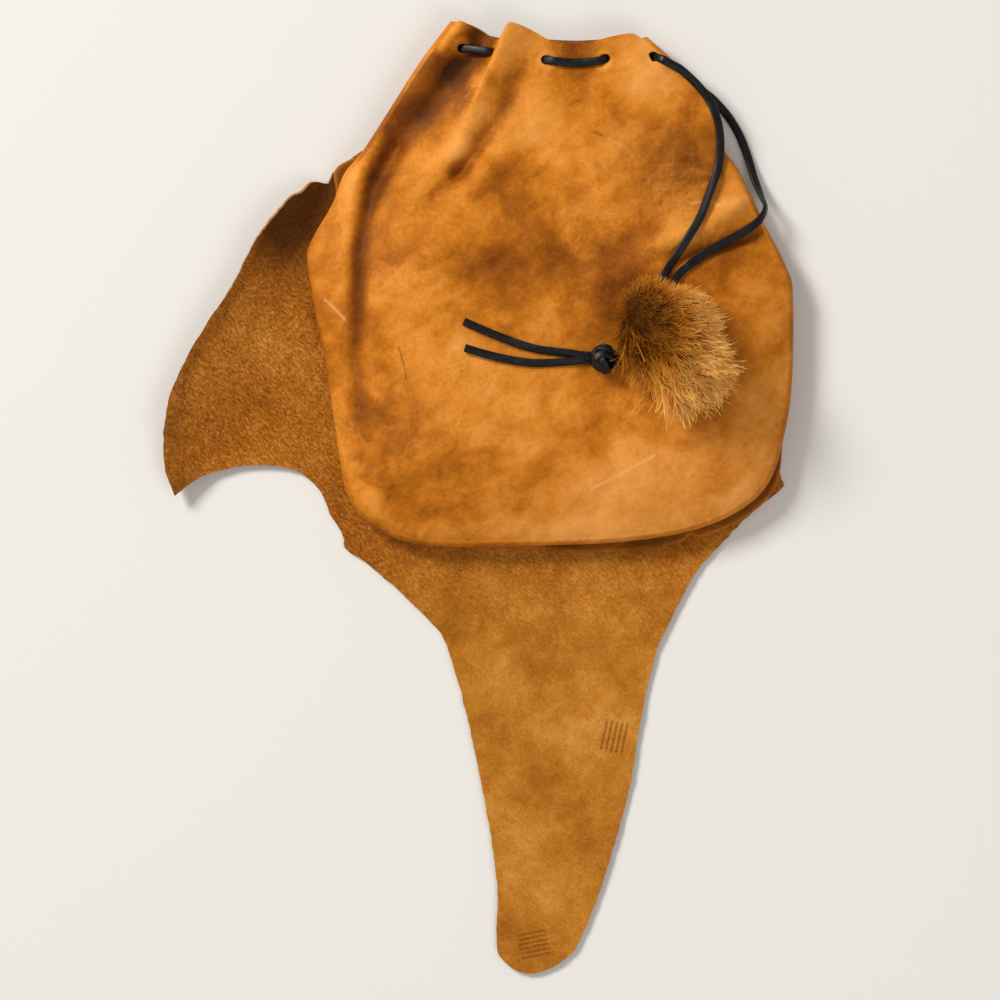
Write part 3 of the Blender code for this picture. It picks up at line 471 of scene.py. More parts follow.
# Back panel: waxed pull-up cowhide, 1.6 mm thick. The pouch was sewn inside out and turned, so
# this panel's edge rolls up to the seam. It shows as a second rolled edge at the lower right,
# and its flesh side shows inside the neck.
LEATHER_THICKNESS = 1.6 * MM
SEAM_ALLOWANCE = 3.5 * MM
BACK_ROLL = 2.3 * MM
BACK_SEAT = 2.1 * MM
BACK_NECK = 4.0 * MM
SEAM_RISE = 4.75 * MM
SEAM_GAP = 0.15 * MM
BACK_PROUD = 4.6 * MM
EAR_PROUD = 5.2 * MM
EAR_AT = 187.0
EAR_SPREAD = 6.5
DIP_DEPTH = 2.5 * MM
DIP_AT = (70.0, 8.0)
DIP_SPREAD = 3.0
# How dark the colour is painted towards the seam groove between the rolls: painted shade.
GROOVE_PAINTED_SHADE = 1.5
NECK_SKEW = 1.7 * MM
NECK_SKEW_REACH = 12.0 * MM
NECK_SPACING = 0.8 * MM
BACK_SPACING = 2.4 * MM
BACK_NECK_LINE = (
    (-51.0, 261.4), (-40.0, 259.0), (-24.0, 255.2), (-10.0, 255.0), (12.0, 254.0),
    (30.0, 254.6), (50.1, 253.5))

# Pull-up leather: dyed through, then filled with wax and oil. Where it is pulled or rubbed the
# wax moves and the colour lightens in clouds, veins and scratches; it has a soft satin shine.
MOTTLE = 42.0 * MM
CLOUD = 11.0 * MM
SPECKLE = 2.0 * MM
PORE = 0.9 * MM
VEIN = 8.0 * MM
SCRATCH = (30.0 * MM, 0.9 * MM)
CRACK = (10.0 * MM, 1.7 * MM)


def pull_up_leather(name, stops):
    """Pull-up leather whose colours run from its darkest wax to its palest rubbed grain."""
    finish, tree, shader = new_finish(name)
    where = add_node(tree, "ShaderNodeTexCoord").outputs["Object"]
    mottle = add_node(tree, "ShaderNodeTexNoise", {
        "Vector": where, "Scale": 1 / MOTTLE, "Detail": 4.0, "Roughness": 0.55, "Distortion": 0.4})
    swept = add_node(tree, "ShaderNodeMapping", {
        "Vector": where, "Rotation": (0.0, 0.0, 0.7),
        "Scale": (1.25, 0.9, 1.0)}, vector_type="TEXTURE")
    cloud = add_node(tree, "ShaderNodeTexNoise", {
        "Vector": swept, "Scale": 1 / CLOUD, "Detail": 5.0, "Roughness": 0.54,
        "Distortion": 0.5})
    speckle = add_node(tree, "ShaderNodeTexNoise", {
        "Vector": where, "Scale": 1 / SPECKLE, "Detail": 3.0, "Roughness": 0.6})
    tone = add_node(tree, "ShaderNodeMix", {0: 0.36, 2: mottle, 3: cloud})
    tone = add_node(tree, "ShaderNodeMix", {0: 0.16, 2: tone, 3: speckle})
    # The fold value shifts the colour along the ramp: painted shade in the valleys, on the pleats and in
    # the seam groove, paler stretched grain, and random tone.
    fold = add_node(tree, "ShaderNodeAttribute", attribute_name="fold")
    tone = add_node(tree, "ShaderNodeMath", {
        0: fold.outputs["Fac"], 1: 0.17, 2: tone}, operation="MULTIPLY_ADD")
    ramp = add_node(tree, "ShaderNodeValToRGB", {"Fac": tone})
    colour_stops(ramp, stops)

    bent = add_node(tree, "ShaderNodeTexNoise", {"Vector": where, "Scale": 1 / CLOUD, "Detail": 3.0})
    bent = add_node(tree, "ShaderNodeVectorMath", {
        0: bent.outputs["Color"], 1: (0.012, 0.012, 0.0), 2: where}, operation="MULTIPLY_ADD")
    vein = add_node(tree, "ShaderNodeTexVoronoi", {
        "Vector": bent, "Scale": 1 / VEIN}, feature="DISTANCE_TO_EDGE")
    vein = add_node(tree, "ShaderNodeMapRange", {
        "Value": vein.outputs["Distance"], "From Min": 0.0, "From Max": 0.05, "To Min": 1.0,
        "To Max": 0.0})
    shows = add_node(tree, "ShaderNodeMapRange", {
        "Value": mottle, "From Min": 0.50, "From Max": 0.64, "To Max": 0.20})
    vein = add_node(tree, "ShaderNodeMath", {0: vein, 1: shows}, operation="MULTIPLY")

    def streaks(turn, size, start, bend, least, most, strength):
        """Thin streaks that all run one way: how strongly each shows."""
        turned = add_node(tree, "ShaderNodeMapping", {
            "Vector": where, "Rotation": (0.0, 0.0, turn), "Location": (*start, 0.0),
            "Scale": (*size, 1.0)}, vector_type="TEXTURE")
        streak = add_node(tree, "ShaderNodeTexNoise", {
            "Vector": turned, "Scale": 1.0, "Detail": 2.0, "Distortion": bend})
        return add_node(tree, "ShaderNodeMapRange", {
            "Value": streak, "From Min": least, "From Max": most, "To Max": strength})

    lines = vein
    for turn, least in ((0.45, 0.70), (-0.9, 0.71), (1.35, 0.72)):
        scratch = streaks(turn, SCRATCH, (0.0, 0.0), 0.15, least, least + 0.08, 0.20)
        lines = add_node(tree, "ShaderNodeMath", {0: lines, 1: scratch}, operation="MAXIMUM")
    cracked = add_node(tree, "ShaderNodeAttribute", attribute_name="cracked")
    for turn in (0.05, 1.55, 0.8):
        crack = streaks(turn, CRACK, (0.013, 0.017), 0.4, 0.50, 0.74, 0.26)
        crack = add_node(tree, "ShaderNodeMath", {
            0: crack, 1: cracked.outputs["Fac"]}, operation="MULTIPLY")
        lines = add_node(tree, "ShaderNodeMath", {0: lines, 1: crack}, operation="MAXIMUM")
    bare = add_node(tree, "ShaderNodeMapRange", {"Value": tone, "From Min": 0.26, "From Max": 0.50})
    lines = add_node(tree, "ShaderNodeMath", {0: lines, 1: bare}, operation="MULTIPLY")
    overlay = add_node(tree, "ShaderNodeMix", {
        0: lines, 6: ramp, 7: linear("#EDB068")}, data_type="RGBA")
    for mark_name, mark_colour in (("pale_mark", "#F2BC7C"), ("dark_mark", "#4A2204")):
        mark = add_node(tree, "ShaderNodeAttribute", attribute_name=mark_name)
        overlay = add_node(tree, "ShaderNodeMix", {
            0: mark.outputs["Fac"], 6: overlay.outputs[2], 7: linear(mark_colour)}, data_type="RGBA")

    shine = add_node(tree, "ShaderNodeMapRange", {
        "Value": cloud, "From Min": 0.3, "From Max": 0.7, "To Min": 0.50, "To Max": 0.66})
    pores = add_node(tree, "ShaderNodeTexVoronoi", {"Vector": bent, "Scale": 1 / PORE})
    bump = add_node(tree, "ShaderNodeBump", {
        "Height": pores.outputs["Distance"], "Strength": 0.22, "Distance": 0.00025})
    bump = add_node(tree, "ShaderNodeBump", {
        "Height": cloud, "Strength": 0.25, "Distance": 0.0010, "Normal": bump})
    connect(tree, shader, {
        "Base Color": overlay.outputs[2], "Normal": bump, "Roughness": shine,
        "Specular IOR Level": 0.24, "Specular Tint": linear("#FFCC98")})
    return finish


back_leather = pull_up_leather("waxed_pull_up_cowhide_back", (
    (0.24, "#663202"), (0.40, "#925006"), (0.50, "#AC620E"), (0.60, "#C2761C"), (0.76, "#DA923E")))

# Flesh side of the panels: unfinished, redder and darker than the hide, with raw cut edges.
flesh_side = raw_fibre("raw_flesh_side", 1.1 * MM, "#71380F", "#A8622A")

EDGE_STEPS_PAST_NECK = 40
edge_past_neck = np.vstack([
    pouch_edge[0] + (pouch_edge[0] - pouch_edge[1]) * EDGE_STEPS_PAST_NECK, pouch_edge,
    pouch_edge[-1] + (pouch_edge[-1] - pouch_edge[-2]) * EDGE_STEPS_PAST_NECK])
edge_step = np.gradient(pouch_edge, axis=0)
edge_inward = np.stack([-edge_step[:, 1], edge_step[:, 0]], axis=1)
edge_inward /= np.linalg.norm(edge_inward, axis=1)[:, None]


def seam_height(points):
    """Height of the seam between the panels; the pouch lifts at the neck, over its lace."""
    lift = ease(points[:, 1] - ORIGIN[1], 199.0 * MM, 224.0 * MM)
    return BACK_SEAT + (BACK_NECK - BACK_SEAT) * lift + SEAM_RISE


def rolled_panel(name, roll, proud, up, neck_line, crown, lean, spacing, extra, finishes):
    """A panel that is rolled at its edge down (or, for up = -1, up) to the seam, and its wall."""
    onward = edge_step / np.linalg.norm(edge_step, axis=1)[:, None]
    run = np.concatenate([[0.0], np.cumsum(np.linalg.norm(np.diff(pouch_edge, axis=0), axis=1))])
    skew = ease(run, run[-1] - NECK_SKEW_REACH, run[-1]) - (1 - ease(run, 0.0, NECK_SKEW_REACH))
    skew = onward * (skew * NECK_SKEW)[:, None]
    crest = pouch_edge + edge_inward * (roll - proud)[:, None] + skew
    neck = spread_evenly(smooth_path(place(neck_line)), NECK_SPACING)
    neck = neck[(neck[:, 0] > crest[0, 0] + 1 * MM) & (neck[:, 0] < crest[-1, 0] - 1 * MM)]
    plan, triangles = filled_outline(np.vstack([crest, neck[::-1]]), spacing, extra)
    rise, fold = crown(plan)
    height = seam_height(plan) + up * SEAM_GAP + up * 2 * roll + rise
    shift = lean(plan)
    points = [np.column_stack([plan + shift, height])]
    faces = [list(face) if up > 0 else list(face[::-1]) for face in triangles]
    count = len(crest)
    previous = list(range(count))
    first = len(plan)
    groove_shades = []
    for turn in (*np.radians((70, 50, 28, 5, -20, -45, -68, -90)), None):
        if turn is None:
            ring = pouch_edge + edge_inward * (roll + SEAM_ALLOWANCE) + skew
            share = 0.0
        else:
            inset = 1 - np.cos(turn)
            ring = pouch_edge + edge_inward * (roll * inset - proud)[:, None] + skew * inset
            share = (1 + np.sin(turn)) / 2
        drop = share * 2 * roll
        ring = ring + shift[:count] * share
        z = seam_height(ring) + up * SEAM_GAP + up * drop + rise[:count] * share ** 1.5
        points.append(np.column_stack([ring, z]))
        # Each roll's colour darkens towards the seam: painted shade in the groove between the panels.
        groove_shades.append(np.full(count, -GROOVE_PAINTED_SHADE * (1 - share) ** 4))
        now = list(range(first, first + count))
        for k in range(count - 1):
            quad = [now[k], now[k + 1], previous[k + 1], previous[k]]
            faces.append(quad if up > 0 else quad[::-1])
        previous = now
        first += count
    points = np.vstack(points)
    item = leather_piece(name, points, faces, LEATHER_THICKNESS, finishes)
    paint(item, "fold", np.concatenate([fold, *groove_shades]))
    return item


def plain_back(points):
    """No rise for the flat back panel, and a faint unevenness of its colour."""
    return np.zeros(len(points)), wander(points, 30 * MM, 8) * 0.3


# The back panel stands out past the front along the lower right and as an ear at the left
# shoulder, and dips back once at the bottom.
across, up_edge = local_x(pouch_edge), local_y(pouch_edge)
proud = BACK_PROUD * ease(across, -36, 36) * (1 - ease(up_edge, 26, 58))
proud += EAR_PROUD * np.exp(-((up_edge - EAR_AT) / EAR_SPREAD) ** 2) * (across < 0)
from_dip = (across - DIP_AT[0]) ** 2 + (up_edge - DIP_AT[1]) ** 2
proud -= DIP_DEPTH * np.exp(-from_dip / DIP_SPREAD ** 2)
back = rolled_panel(
    "pouch_back", BACK_ROLL, proud, -1, BACK_NECK_LINE, plain_back,
    lambda plan: np.zeros_like(plan), BACK_SPACING, (), (back_leather, flesh_side))
back = finished_mesh(back)
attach(back, "root")
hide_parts("pouch_back_panel")


# Front panel: the same leather, full over the contents and gathered at the neck. The lace
# pulls it into two leaning pleats at the left and a broad one at the right.
FRONT_ROLL = 2.8 * MM
BELLY_HEIGHT = 31.0 * MM
FRONT_NECK = 16.6 * MM
DOME_SHOULDER = 70.0 * MM
PANEL_SPACING = 1.5 * MM
MARK_SPACING = 0.8 * MM
EDGE_PALENESS = 0.6
EDGE_PALE_INSET = 8.0 * MM
EDGE_PALE_REACH = 6.0 * MM
NECK_LINE = (
    (-51.0, 260.4), (-46.8, 262.6), (-44.0, 262.9), (-35.0, 258.5), (-27.0, 253.6), (-20.5, 257.0),
    (-15.1, 260.9), (-7.5, 257.5), (1.0, 253.0), (10.9, 252.0), (19.9, 252.5), (29.9, 255.1),
    (40.5, 256.8), (44.6, 255.2), (50.1, 252.0))
# Height, width, share of the height at the route's two ends, and route.
FRONT_FOLDS = (
    (4.2, 6.0, 1.0, 0.2, (
        (-49, 262), (-60, 246.5), (-72.5, 229), (-85, 213), (-93.5, 199), (-99, 179), (-101.5, 154),
        (-102, 124), (-101, 84))),
    (-6.4, 7.2, 1.0, 0.35, (
        (-34, 254), (-36, 249), (-47.5, 236.5), (-57.5, 224), (-69, 211.5), (-77, 199), (-89, 179))),
    (-5.4, 4.2, 0.68, 0.0, (
        (-77, 199), (-87.5, 179), (-93.8, 154), (-95.5, 124), (-95.5, 74), (-91.5, 24))),
    (5.6, 5.6, 1.0, 0.15, ((-15, 263), (-21, 247), (-30, 229), (-39, 214), (-48, 200), (-58, 187))),
    (-3.6, 4.2, 0.2, 1.0, ((-11, 245), (-19, 226), (-27, 213), (-34.5, 202.5), (-45, 187.5))),
    (-1.8, 2.4, 0.7, 0.6, ((-36, 197), (-44, 188.5), (-52, 181), (-58, 176))),
    (-2.0, 6.0, 1.0, 0.2, ((-45, 187.5), (-56, 176), (-66, 160))),
    (1.7, 8.0, 0.4, 0.8, ((-2, 226), (-14, 208), (-28, 194), (-40, 180))),
    (-1.2, 6.0, 1.0, 0.6, ((-9, 197), (-22, 186), (-33, 176))),
    (-2.6, 10.0, 1.0, 0.1, ((12, 256), (12.5, 236), (13, 212))),
    (2.6, 13.0, 1.0, 0.2, ((41, 260), (45, 239), (52, 212))),
    (-1.3, 2.2, 0.4, 1.0, ((68, 193), (77, 190), (84, 188))),
    (-1.0, 1.8, 0.4, 1.0, ((71, 182), (80, 184))),
    (3.2, 5.6, 1.0, 0.4, ((99, 176), (85, 166), (74, 159), (61, 152), (48, 148))),
    (-1.3, 2.2, 0.4, 1.0, ((90, 175), (98, 178))),
    (-3.2, 4.6, 1.0, 0.5, ((109, 159), (94, 153), (75, 148), (53, 145))),
    (-1.1, 2.4, 1.0, 0.2, ((122, 132), (108, 131))),
    (-0.9, 2.4, 1.0, 0.2, ((118, 74), (104, 73))),
    (-0.9, 2.6, 1.0, 0.2, ((115, 53), (101, 55))),
    (-1.0, 2.4, 1.0, 0.1, ((-98, 44), (-84, 40))),
    (-0.9, 2.0, 1.0, 0.1, ((-97, 36), (-88, 30))),
    (-1.3, 10.0, 0.8, 1.0, ((-88, 143), (-50, 141), (-10, 143), (35, 149))),
)
LEANING_PLEAT = (4.6, 4.8, ((-15, 263), (-21, 247), (-30, 229), (-39, 214), (-46, 203)))
# Scratches and scars: pale or dark, strength, width and route.
FRONT_MARKS = (
    ("pale_mark", 0.55, 0.5, ((20.5, 29.5), (35, 37), (51.5, 46))),
    ("dark_mark", 0.60, 0.45, ((-75.5, 100), (-73, 92), (-71.5, 84))),
    ("pale_mark", 0.45, 0.6, ((-112.5, 124), (-107, 119), (-102.5, 114))),
    ("dark_mark", 0.55, 0.9, ((22.0, 207.5), (25.0, 206.0))),
    ("pale_mark", 0.40, 0.5, ((70, 171.5), (78, 172.5), (85, 170.5))),
    ("dark_mark", 0.40, 0.8, ((-93.5, 56.5), (-91.5, 54.0))),
    ("pale_mark", 0.12, 0.7, ((30, 203.5), (38, 199), (43, 192))),
)
# Where the colour is darker or paler over a wide area: amount, reach and centre. The first seven, on the
# pleats at the upper left, are painted shade and painted light; the others darken or lighten the colour
# over wider areas.
FRONT_TONES = (
    (-1.3, 9.0, (-50, 238)), (-0.6, 8.0, (-38, 248)), (-0.5, 8.0, (-62, 224)), (-1.3, 6.5, (-40, 225)),
    (-1.2, 9.0, (-24, 231)), (1.4, 8.0, (-44, 198)), (0.6, 13.0, (-68, 190)),
    (-0.9, 22.0, (44, 128)), (-0.45, 26.0, (62, 192)), (-0.4, 24.0, (-14, 160)), (-0.4, 20.0, (18, 140)),
    (0.6, 26.0, (108, 76)), (0.8, 24.0, (2, 208)), (0.5, 16.0, (44, 238)), (0.7, 50.0, (30, 28)),
    (0.5, 20.0, (106, 120)),
    (0.5, 22.0, (-52, 160)), (0.3, 26.0, (-58, 100)), (-0.5, 12.0, (-86, 66)), (0.4, 14.0, (98, 172)),
    (-0.5, 14.0, (90, 152)),
)
# Painted shade along the folds, and painted light once in a valley: amount, reach, its share at the two
# ends, route.
FRONT_PAINTED_SHADES = (
    (-2.2, 4.2, 1.0, 0.5, ((-58, 246), (-67, 234), (-76, 222), (-83, 211))),
    (0.5, 4.5, 0.4, 1.0, ((-62, 224), (-70, 212), (-79, 199))),
    (-1.5, 5.0, 0.4, 0.9, ((-86, 184), (-94.0, 160), (-96.5, 124))),
    (-1.0, 5.0, 1.0, 0.0, ((-97.0, 116), (-97.0, 74), (-92.5, 24))),
)
# Where the grain is stretched and shows fine pale cracks: strength, reach and centre.
CRACKED_PLACES = (
    (1.0, 22.0, (62, 182)), (0.6, 14.0, (36, 200)), (0.5, 16.0, (-68, 60)), (0.4, 18.0, (90, 40)))
LACE_HOLES = ((-44, 250), (-1.5, 243.5), (26, 243), (52.5, 245.5))

grain_leather = pull_up_leather("waxed_pull_up_cowhide", (
    (0.10, "#3A1802"), (0.30, "#763A06"), (0.42, "#9A540C"), (0.50, "#B66814"), (0.58, "#CC7C26"),
    (0.76, "#E89A48")))


def front_crown(points):
    """Rise of the front panel's dome, folds and seam puckers, and a shift of its colour: paler where the
    grain is stretched, with painted shade and painted light along the folds.
    """
    inset, along, _ = nearest_on_path(points, edge_past_neck)
    share = np.clip(inset / DOME_SHOULDER, 0.0, 1.0)
    bulge = 0.5 * np.sin(np.pi / 2 * share) + 0.5 * np.sqrt(1 - (1 - share) ** 2)
    roll_top = seam_height(points) + SEAM_GAP + 2 * FRONT_ROLL
    neck_share = ease(points[:, 1] - ORIGIN[1], 118 * MM, 250 * MM)
    top = BELLY_HEIGHT + (FRONT_NECK - BELLY_HEIGHT) * neck_share
    dome = np.maximum(top - roll_top, 0.0) * bulge
    folds = relief(points, FRONT_FOLDS)
    waves = wander(points, 55 * MM, 21) * 1.1
    waves += wander(points, 17 * MM, 22) * 0.45
    waves += wander(points, 6 * MM, 23) * 0.12
    edge_count = len(edge_past_neck)
    edge_puckers = wander(edge_past_neck, 8 * MM, 24, 2)
    puckers = np.interp(along * edge_count, np.arange(edge_count), edge_puckers)
    puckers *= 1.1 * np.exp(-(inset / (8 * MM)) ** 2)
    dents = np.zeros(len(points))
    halo = np.zeros(len(points))
    for hole in LACE_HOLES:
        gap = np.linalg.norm(points - place(hole), axis=1) / MM
        dents -= 0.9 * np.exp(-(gap / 2.6) ** 2)
        halo += 0.9 * np.exp(-((gap - 3.4) / 1.6) ** 2)
    rise = dome + folds * ease(inset, 0.5 * MM, 8 * MM)
    rise += (waves * ease(inset, 1 * MM, 12 * MM) + puckers * ease(inset, 0.0, 3 * MM) + dents) * MM
    # Valleys are painted darker as painted shade; ridges are paler where the pull-up grain is stretched.
    stretch_and_painted_shade = np.where(folds < 0, folds / (2.6 * MM), folds / (4 * MM))
    stretch_and_painted_shade = np.clip(stretch_and_painted_shade, -1.25, 0.7) + halo + wander(points, 9 * MM, 25) * 0.15
    stretch_and_painted_shade += relief(points, FRONT_PAINTED_SHADES) / MM
    bottom = 1 - ease(points[:, 1] - ORIGIN[1], 24 * MM, 64 * MM)
    stretch_and_painted_shade += EDGE_PALENESS * bottom * np.exp(-((inset - EDGE_PALE_INSET) / EDGE_PALE_REACH) ** 2)
    for amount, reach, centre in FRONT_TONES:
        gap = np.linalg.norm(points - place(centre), axis=1)
        stretch_and_painted_shade += amount * np.exp(-(gap / (reach * MM)) ** 2)
    return rise, stretch_and_painted_shade


def pleat_lean(points):
    """How far the second pleat leans over the lace, to the left."""
    reach, width, route = LEANING_PLEAT
    distance, along, side = nearest_on_path(points, smooth_path(place(route), 6))
    strength = reach * MM * (1 - ease(along, 0.35, 1.0)) * np.exp(-(distance / (width * MM)) ** 2)
    return np.column_stack([-strength, strength * 0.25])


# Closer points where the pleats bend sharply, and along each scratch and scar.
pleat_mesh = np.meshgrid(np.arange(-62, -4, 0.95), np.arange(184, 263, 0.95))
pleat_mesh = place(np.column_stack([axis.ravel() for axis in pleat_mesh]))
pleat_mesh[:, 0] += np.tile((0.0, 0.4 * MM), len(pleat_mesh))[:len(pleat_mesh)]
mark_paths = [spread_evenly(smooth_path(place(mark[3])), MARK_SPACING) for mark in FRONT_MARKS]
fine = [pleat_mesh]
for (_, _, width, _), path in zip(FRONT_MARKS, mark_paths):
    side = np.gradient(path, axis=0)[:, ::-1] * (1, -1)
    side /= np.linalg.norm(side, axis=1)[:, None]
    fine += [path + side * offset * width * MM for offset in (-1.3, -0.5, 0.5, 1.3)]
front = rolled_panel(
    "pouch_front", FRONT_ROLL, np.zeros(len(pouch_edge)), 1, NECK_LINE,
    front_crown, pleat_lean, PANEL_SPACING, fine, (grain_leather, flesh_side))
plan = np.array([v.co[:2] for v in front.data.vertices])
stretched = np.zeros(len(plan))
for strength, reach, centre in CRACKED_PLACES:
    gap = np.linalg.norm(plan - place(centre), axis=1)
    stretched = np.maximum(stretched, strength * np.exp(-(gap / (reach * MM)) ** 2))
paint(front, "cracked", stretched)
for kind in ("pale_mark", "dark_mark"):
    shade = np.zeros(len(plan))
    for (mark_kind, strength, width, _), path in zip(FRONT_MARKS, mark_paths):
        if mark_kind == kind:
            gap, _, _ = nearest_on_path(plan, path)
            shade = np.maximum(shade, strength * np.exp(-(gap / (width * MM)) ** 2))
    paint(front, kind, shade)
front = finished_mesh(front)
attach(front, "root")
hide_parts("pouch_front_panel")


# Seam thread: waxed brown linen, 0.5 mm thick. It holds the two panels edge to edge inside the
# turned seam, so only its short stitches show, deep in the groove between the two rolls.
STITCH_PITCH = 3.0 * MM
STITCH_LENGTH = 2.2 * MM
THREAD_THICKNESS = 0.5 * MM
THREAD_INSET = 1.1 * MM
THREAD_RISE = 0.1 * MM

# Linen: twisted flax, drawn through brown wax, with a dull shine.
LINEN_FIBRE = 0.8 * MM

linen, tree, shader = new_finish("waxed_brown_linen_thread")
where = add_node(tree, "ShaderNodeTexCoord").outputs["Object"]
fibre = add_node(tree, "ShaderNodeTexNoise", {"Vector": where, "Scale": 1 / LINEN_FIBRE, "Detail": 2.0})
ramp = add_node(tree, "ShaderNodeValToRGB", {"Fac": fibre})
colour_stops(ramp, ((0.35, "#3A1F0A"), (0.65, "#6A4218")))
connect(tree, shader, {"Base Color": ramp, "Roughness": 0.6})


def named_inputs_group(name, inputs):
    """A geometry node group with a mesh input and output and more inputs, by name and kind."""
    group = bpy.data.node_groups.new(name, "GeometryNodeTree")
    group.interface.new_socket("Geometry", in_out="OUTPUT", socket_type="NodeSocketGeometry")
    for socket, kind in (("Geometry", "Geometry"), *inputs):
        group.interface.new_socket(socket, in_out="INPUT", socket_type=f"NodeSocket{kind}")
    return group, add_node(group, "NodeGroupInput").outputs


def run_nodes(item, name, group, settings):
    """A plain mesh piece made by running a node group on an object with the settings named."""
    live = item.modifiers.new("repeat", "NODES")
    live.node_group = group
    for socket in group.interface.items_tree:
        if socket.name in settings:
            live[socket.identifier] = settings[socket.name]
    item.update_tag()
    bpy.context.view_layer.update()
    seen = item.evaluated_get(bpy.context.evaluated_depsgraph_get())
    mesh = bpy.data.meshes.new_from_object(seen)
    item.modifiers.remove(live)
    mesh.name = name
    made = bpy.data.objects.new(name, mesh)
    bpy.context.scene.collection.objects.link(made)
    return made


def stitch_nodes():
    """Geometry nodes that set a stitch at every pitch along a line."""
    group, source = named_inputs_group("set_stitches", (
        ("Stitch pitch", "Float"), ("Stitch length", "Float"), ("Thread thickness", "Float"),
        ("Unevenness", "Float"), ("Seed", "Int"), ("Finish", "Material")))
    line = add_node(group, "GeometryNodeMeshToCurve", {"Mesh": source["Geometry"]})
    points = add_node(group, "GeometryNodeCurveToPoints", {
        "Curve": line, "Length": source["Stitch pitch"]}, mode="LENGTH")
    reach = add_node(group, "ShaderNodeMath", {
        0: source["Stitch length"], 1: 0.5}, operation="MULTIPLY")
    back_reach = add_node(group, "ShaderNodeMath", {0: reach, 1: -1.0}, operation="MULTIPLY")
    start = add_node(group, "ShaderNodeCombineXYZ", {"Z": back_reach})
    end = add_node(group, "ShaderNodeCombineXYZ", {"Z": reach})
    span = add_node(group, "GeometryNodeCurvePrimitiveLine", {"Start": start, "End": end})
    span = add_node(group, "GeometryNodeResampleCurve", {"Curve": span, "Count": 4})
    step = add_node(group, "GeometryNodeSplineParameter").outputs["Factor"]
    swell = add_node(group, "ShaderNodeMapRange", {
        "Value": step, "From Min": 0.0, "From Max": 0.34, "To Min": 0.45, "To Max": 1.0})
    thin = add_node(group, "ShaderNodeMapRange", {
        "Value": step, "From Min": 0.66, "From Max": 1.0, "To Min": 1.0, "To Max": 0.45})
    shape = add_node(group, "ShaderNodeMath", {0: swell, 1: thin}, operation="MINIMUM")
    span = add_node(group, "GeometryNodeSetCurveRadius", {"Curve": span, "Radius": shape})
    radius = add_node(group, "ShaderNodeMath", {
        0: source["Thread thickness"], 1: 0.5}, operation="MULTIPLY")
    ring = add_node(group, "GeometryNodeCurvePrimitiveCircle", {"Resolution": 7, "Radius": radius})
    stitch = add_node(group, "GeometryNodeCurveToMesh", {
        "Curve": span, "Profile Curve": ring.outputs["Curve"], "Fill Caps": True})
    least = add_node(group, "ShaderNodeMath", {0: 1.0, 1: source["Unevenness"]}, operation="SUBTRACT")
    scale = add_node(group, "FunctionNodeRandomValue", {
        2: least, 3: 1.0, "Seed": source["Seed"]}, data_type="FLOAT")
    copies = add_node(group, "GeometryNodeInstanceOnPoints", {
        "Points": points.outputs["Points"], "Instance": stitch,
        "Rotation": points.outputs["Rotation"], "Scale": scale.outputs[1]})
    real = add_node(group, "GeometryNodeRealizeInstances", {"Geometry": copies})
    finished = add_node(group, "GeometryNodeSetMaterial", {
        "Geometry": real, "Material": source["Finish"]})
    add_node(group, "NodeGroupOutput", {"Geometry": finished})
    return group


seam = pouch_edge + edge_inward * THREAD_INSET
mesh = bpy.data.meshes.new("seam_line")
mesh.from_pydata(
    [(*p, z) for p, z in zip(seam, seam_height(seam) + THREAD_RISE)],
    [(k, k + 1) for k in range(len(seam) - 1)], [])
seam_line = bpy.data.objects.new("seam_line", mesh)
bpy.context.scene.collection.objects.link(seam_line)
stitches = run_nodes(seam_line, "seam_stitches", stitch_nodes(), {
    "Stitch pitch": STITCH_PITCH, "Stitch length": STITCH_LENGTH, "Thread thickness": THREAD_THICKNESS,
    "Unevenness": 0.2, "Seed": 2, "Finish": linen})
bpy.data.objects.remove(seam_line)
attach(stitches, "root")


# Drawstring: one flat lace cut from black-dyed leather, 4.2 by 2 mm, threaded in and out of
# plain holes round the neck. Its two ends leave the neck at the right, run over the pouch's
# shoulder, through the fur puff to a knot, and end cut square.
LACE_WIDTH = 4.2 * MM
LACE_DEPTH = 2.0 * MM
LACE_CLEAR = 0.25 * MM
LACE_STEP = 1.0 * MM
LACE_TWIST = 0.45
RAY_START = 0.2
FRONT_OUTSIDE, FRONT_INSIDE, BACK_INSIDE, BACK_OUTSIDE, FREE, IN_PUFF = range(6)
INNER_STRAND = (
    (65.6, 238.5), (74.6, 230.1), (80.4, 222.0), (84.1, 211.5), (85.0, 199.9), (83.6, 189.1),
    (79.5, 177.5), (74.6, 164.9), (68.0, 153.6), (62.0, 144.4), (57.6, 137.5))
OUTER_STRAND = (
    (86.5, 219.8), (90.9, 214.1), (95.5, 205.9), (99.4, 195.4), (102.5, 184.6), (105.7, 175.9),
    (107.6, 169.9), (104.5, 163.8), (97.4, 158.1), (87.5, 152.5), (77.0, 146.5), (68.0, 139.9),
    (62.5, 134.4))
INNER_IN_PUFF = ((51.0, 124.9), (46.2, 113.1), (41.0, 102.5), (33.5, 96.6))
OUTER_IN_PUFF = ((56.6, 123.1), (53.0, 109.1), (45.0, 96.5), (34.0, 92.6))
UPPER_TAIL = ((19.5, 95.6), (8.0, 97.0), (-9.0, 99.4), (-26.5, 105.5), (-43.0, 112.6))
LOWER_TAIL = ((19.5, 93.6), (8.0, 92.6), (-9.0, 92.0), (-26.5, 94.9), (-42.5, 99.4))
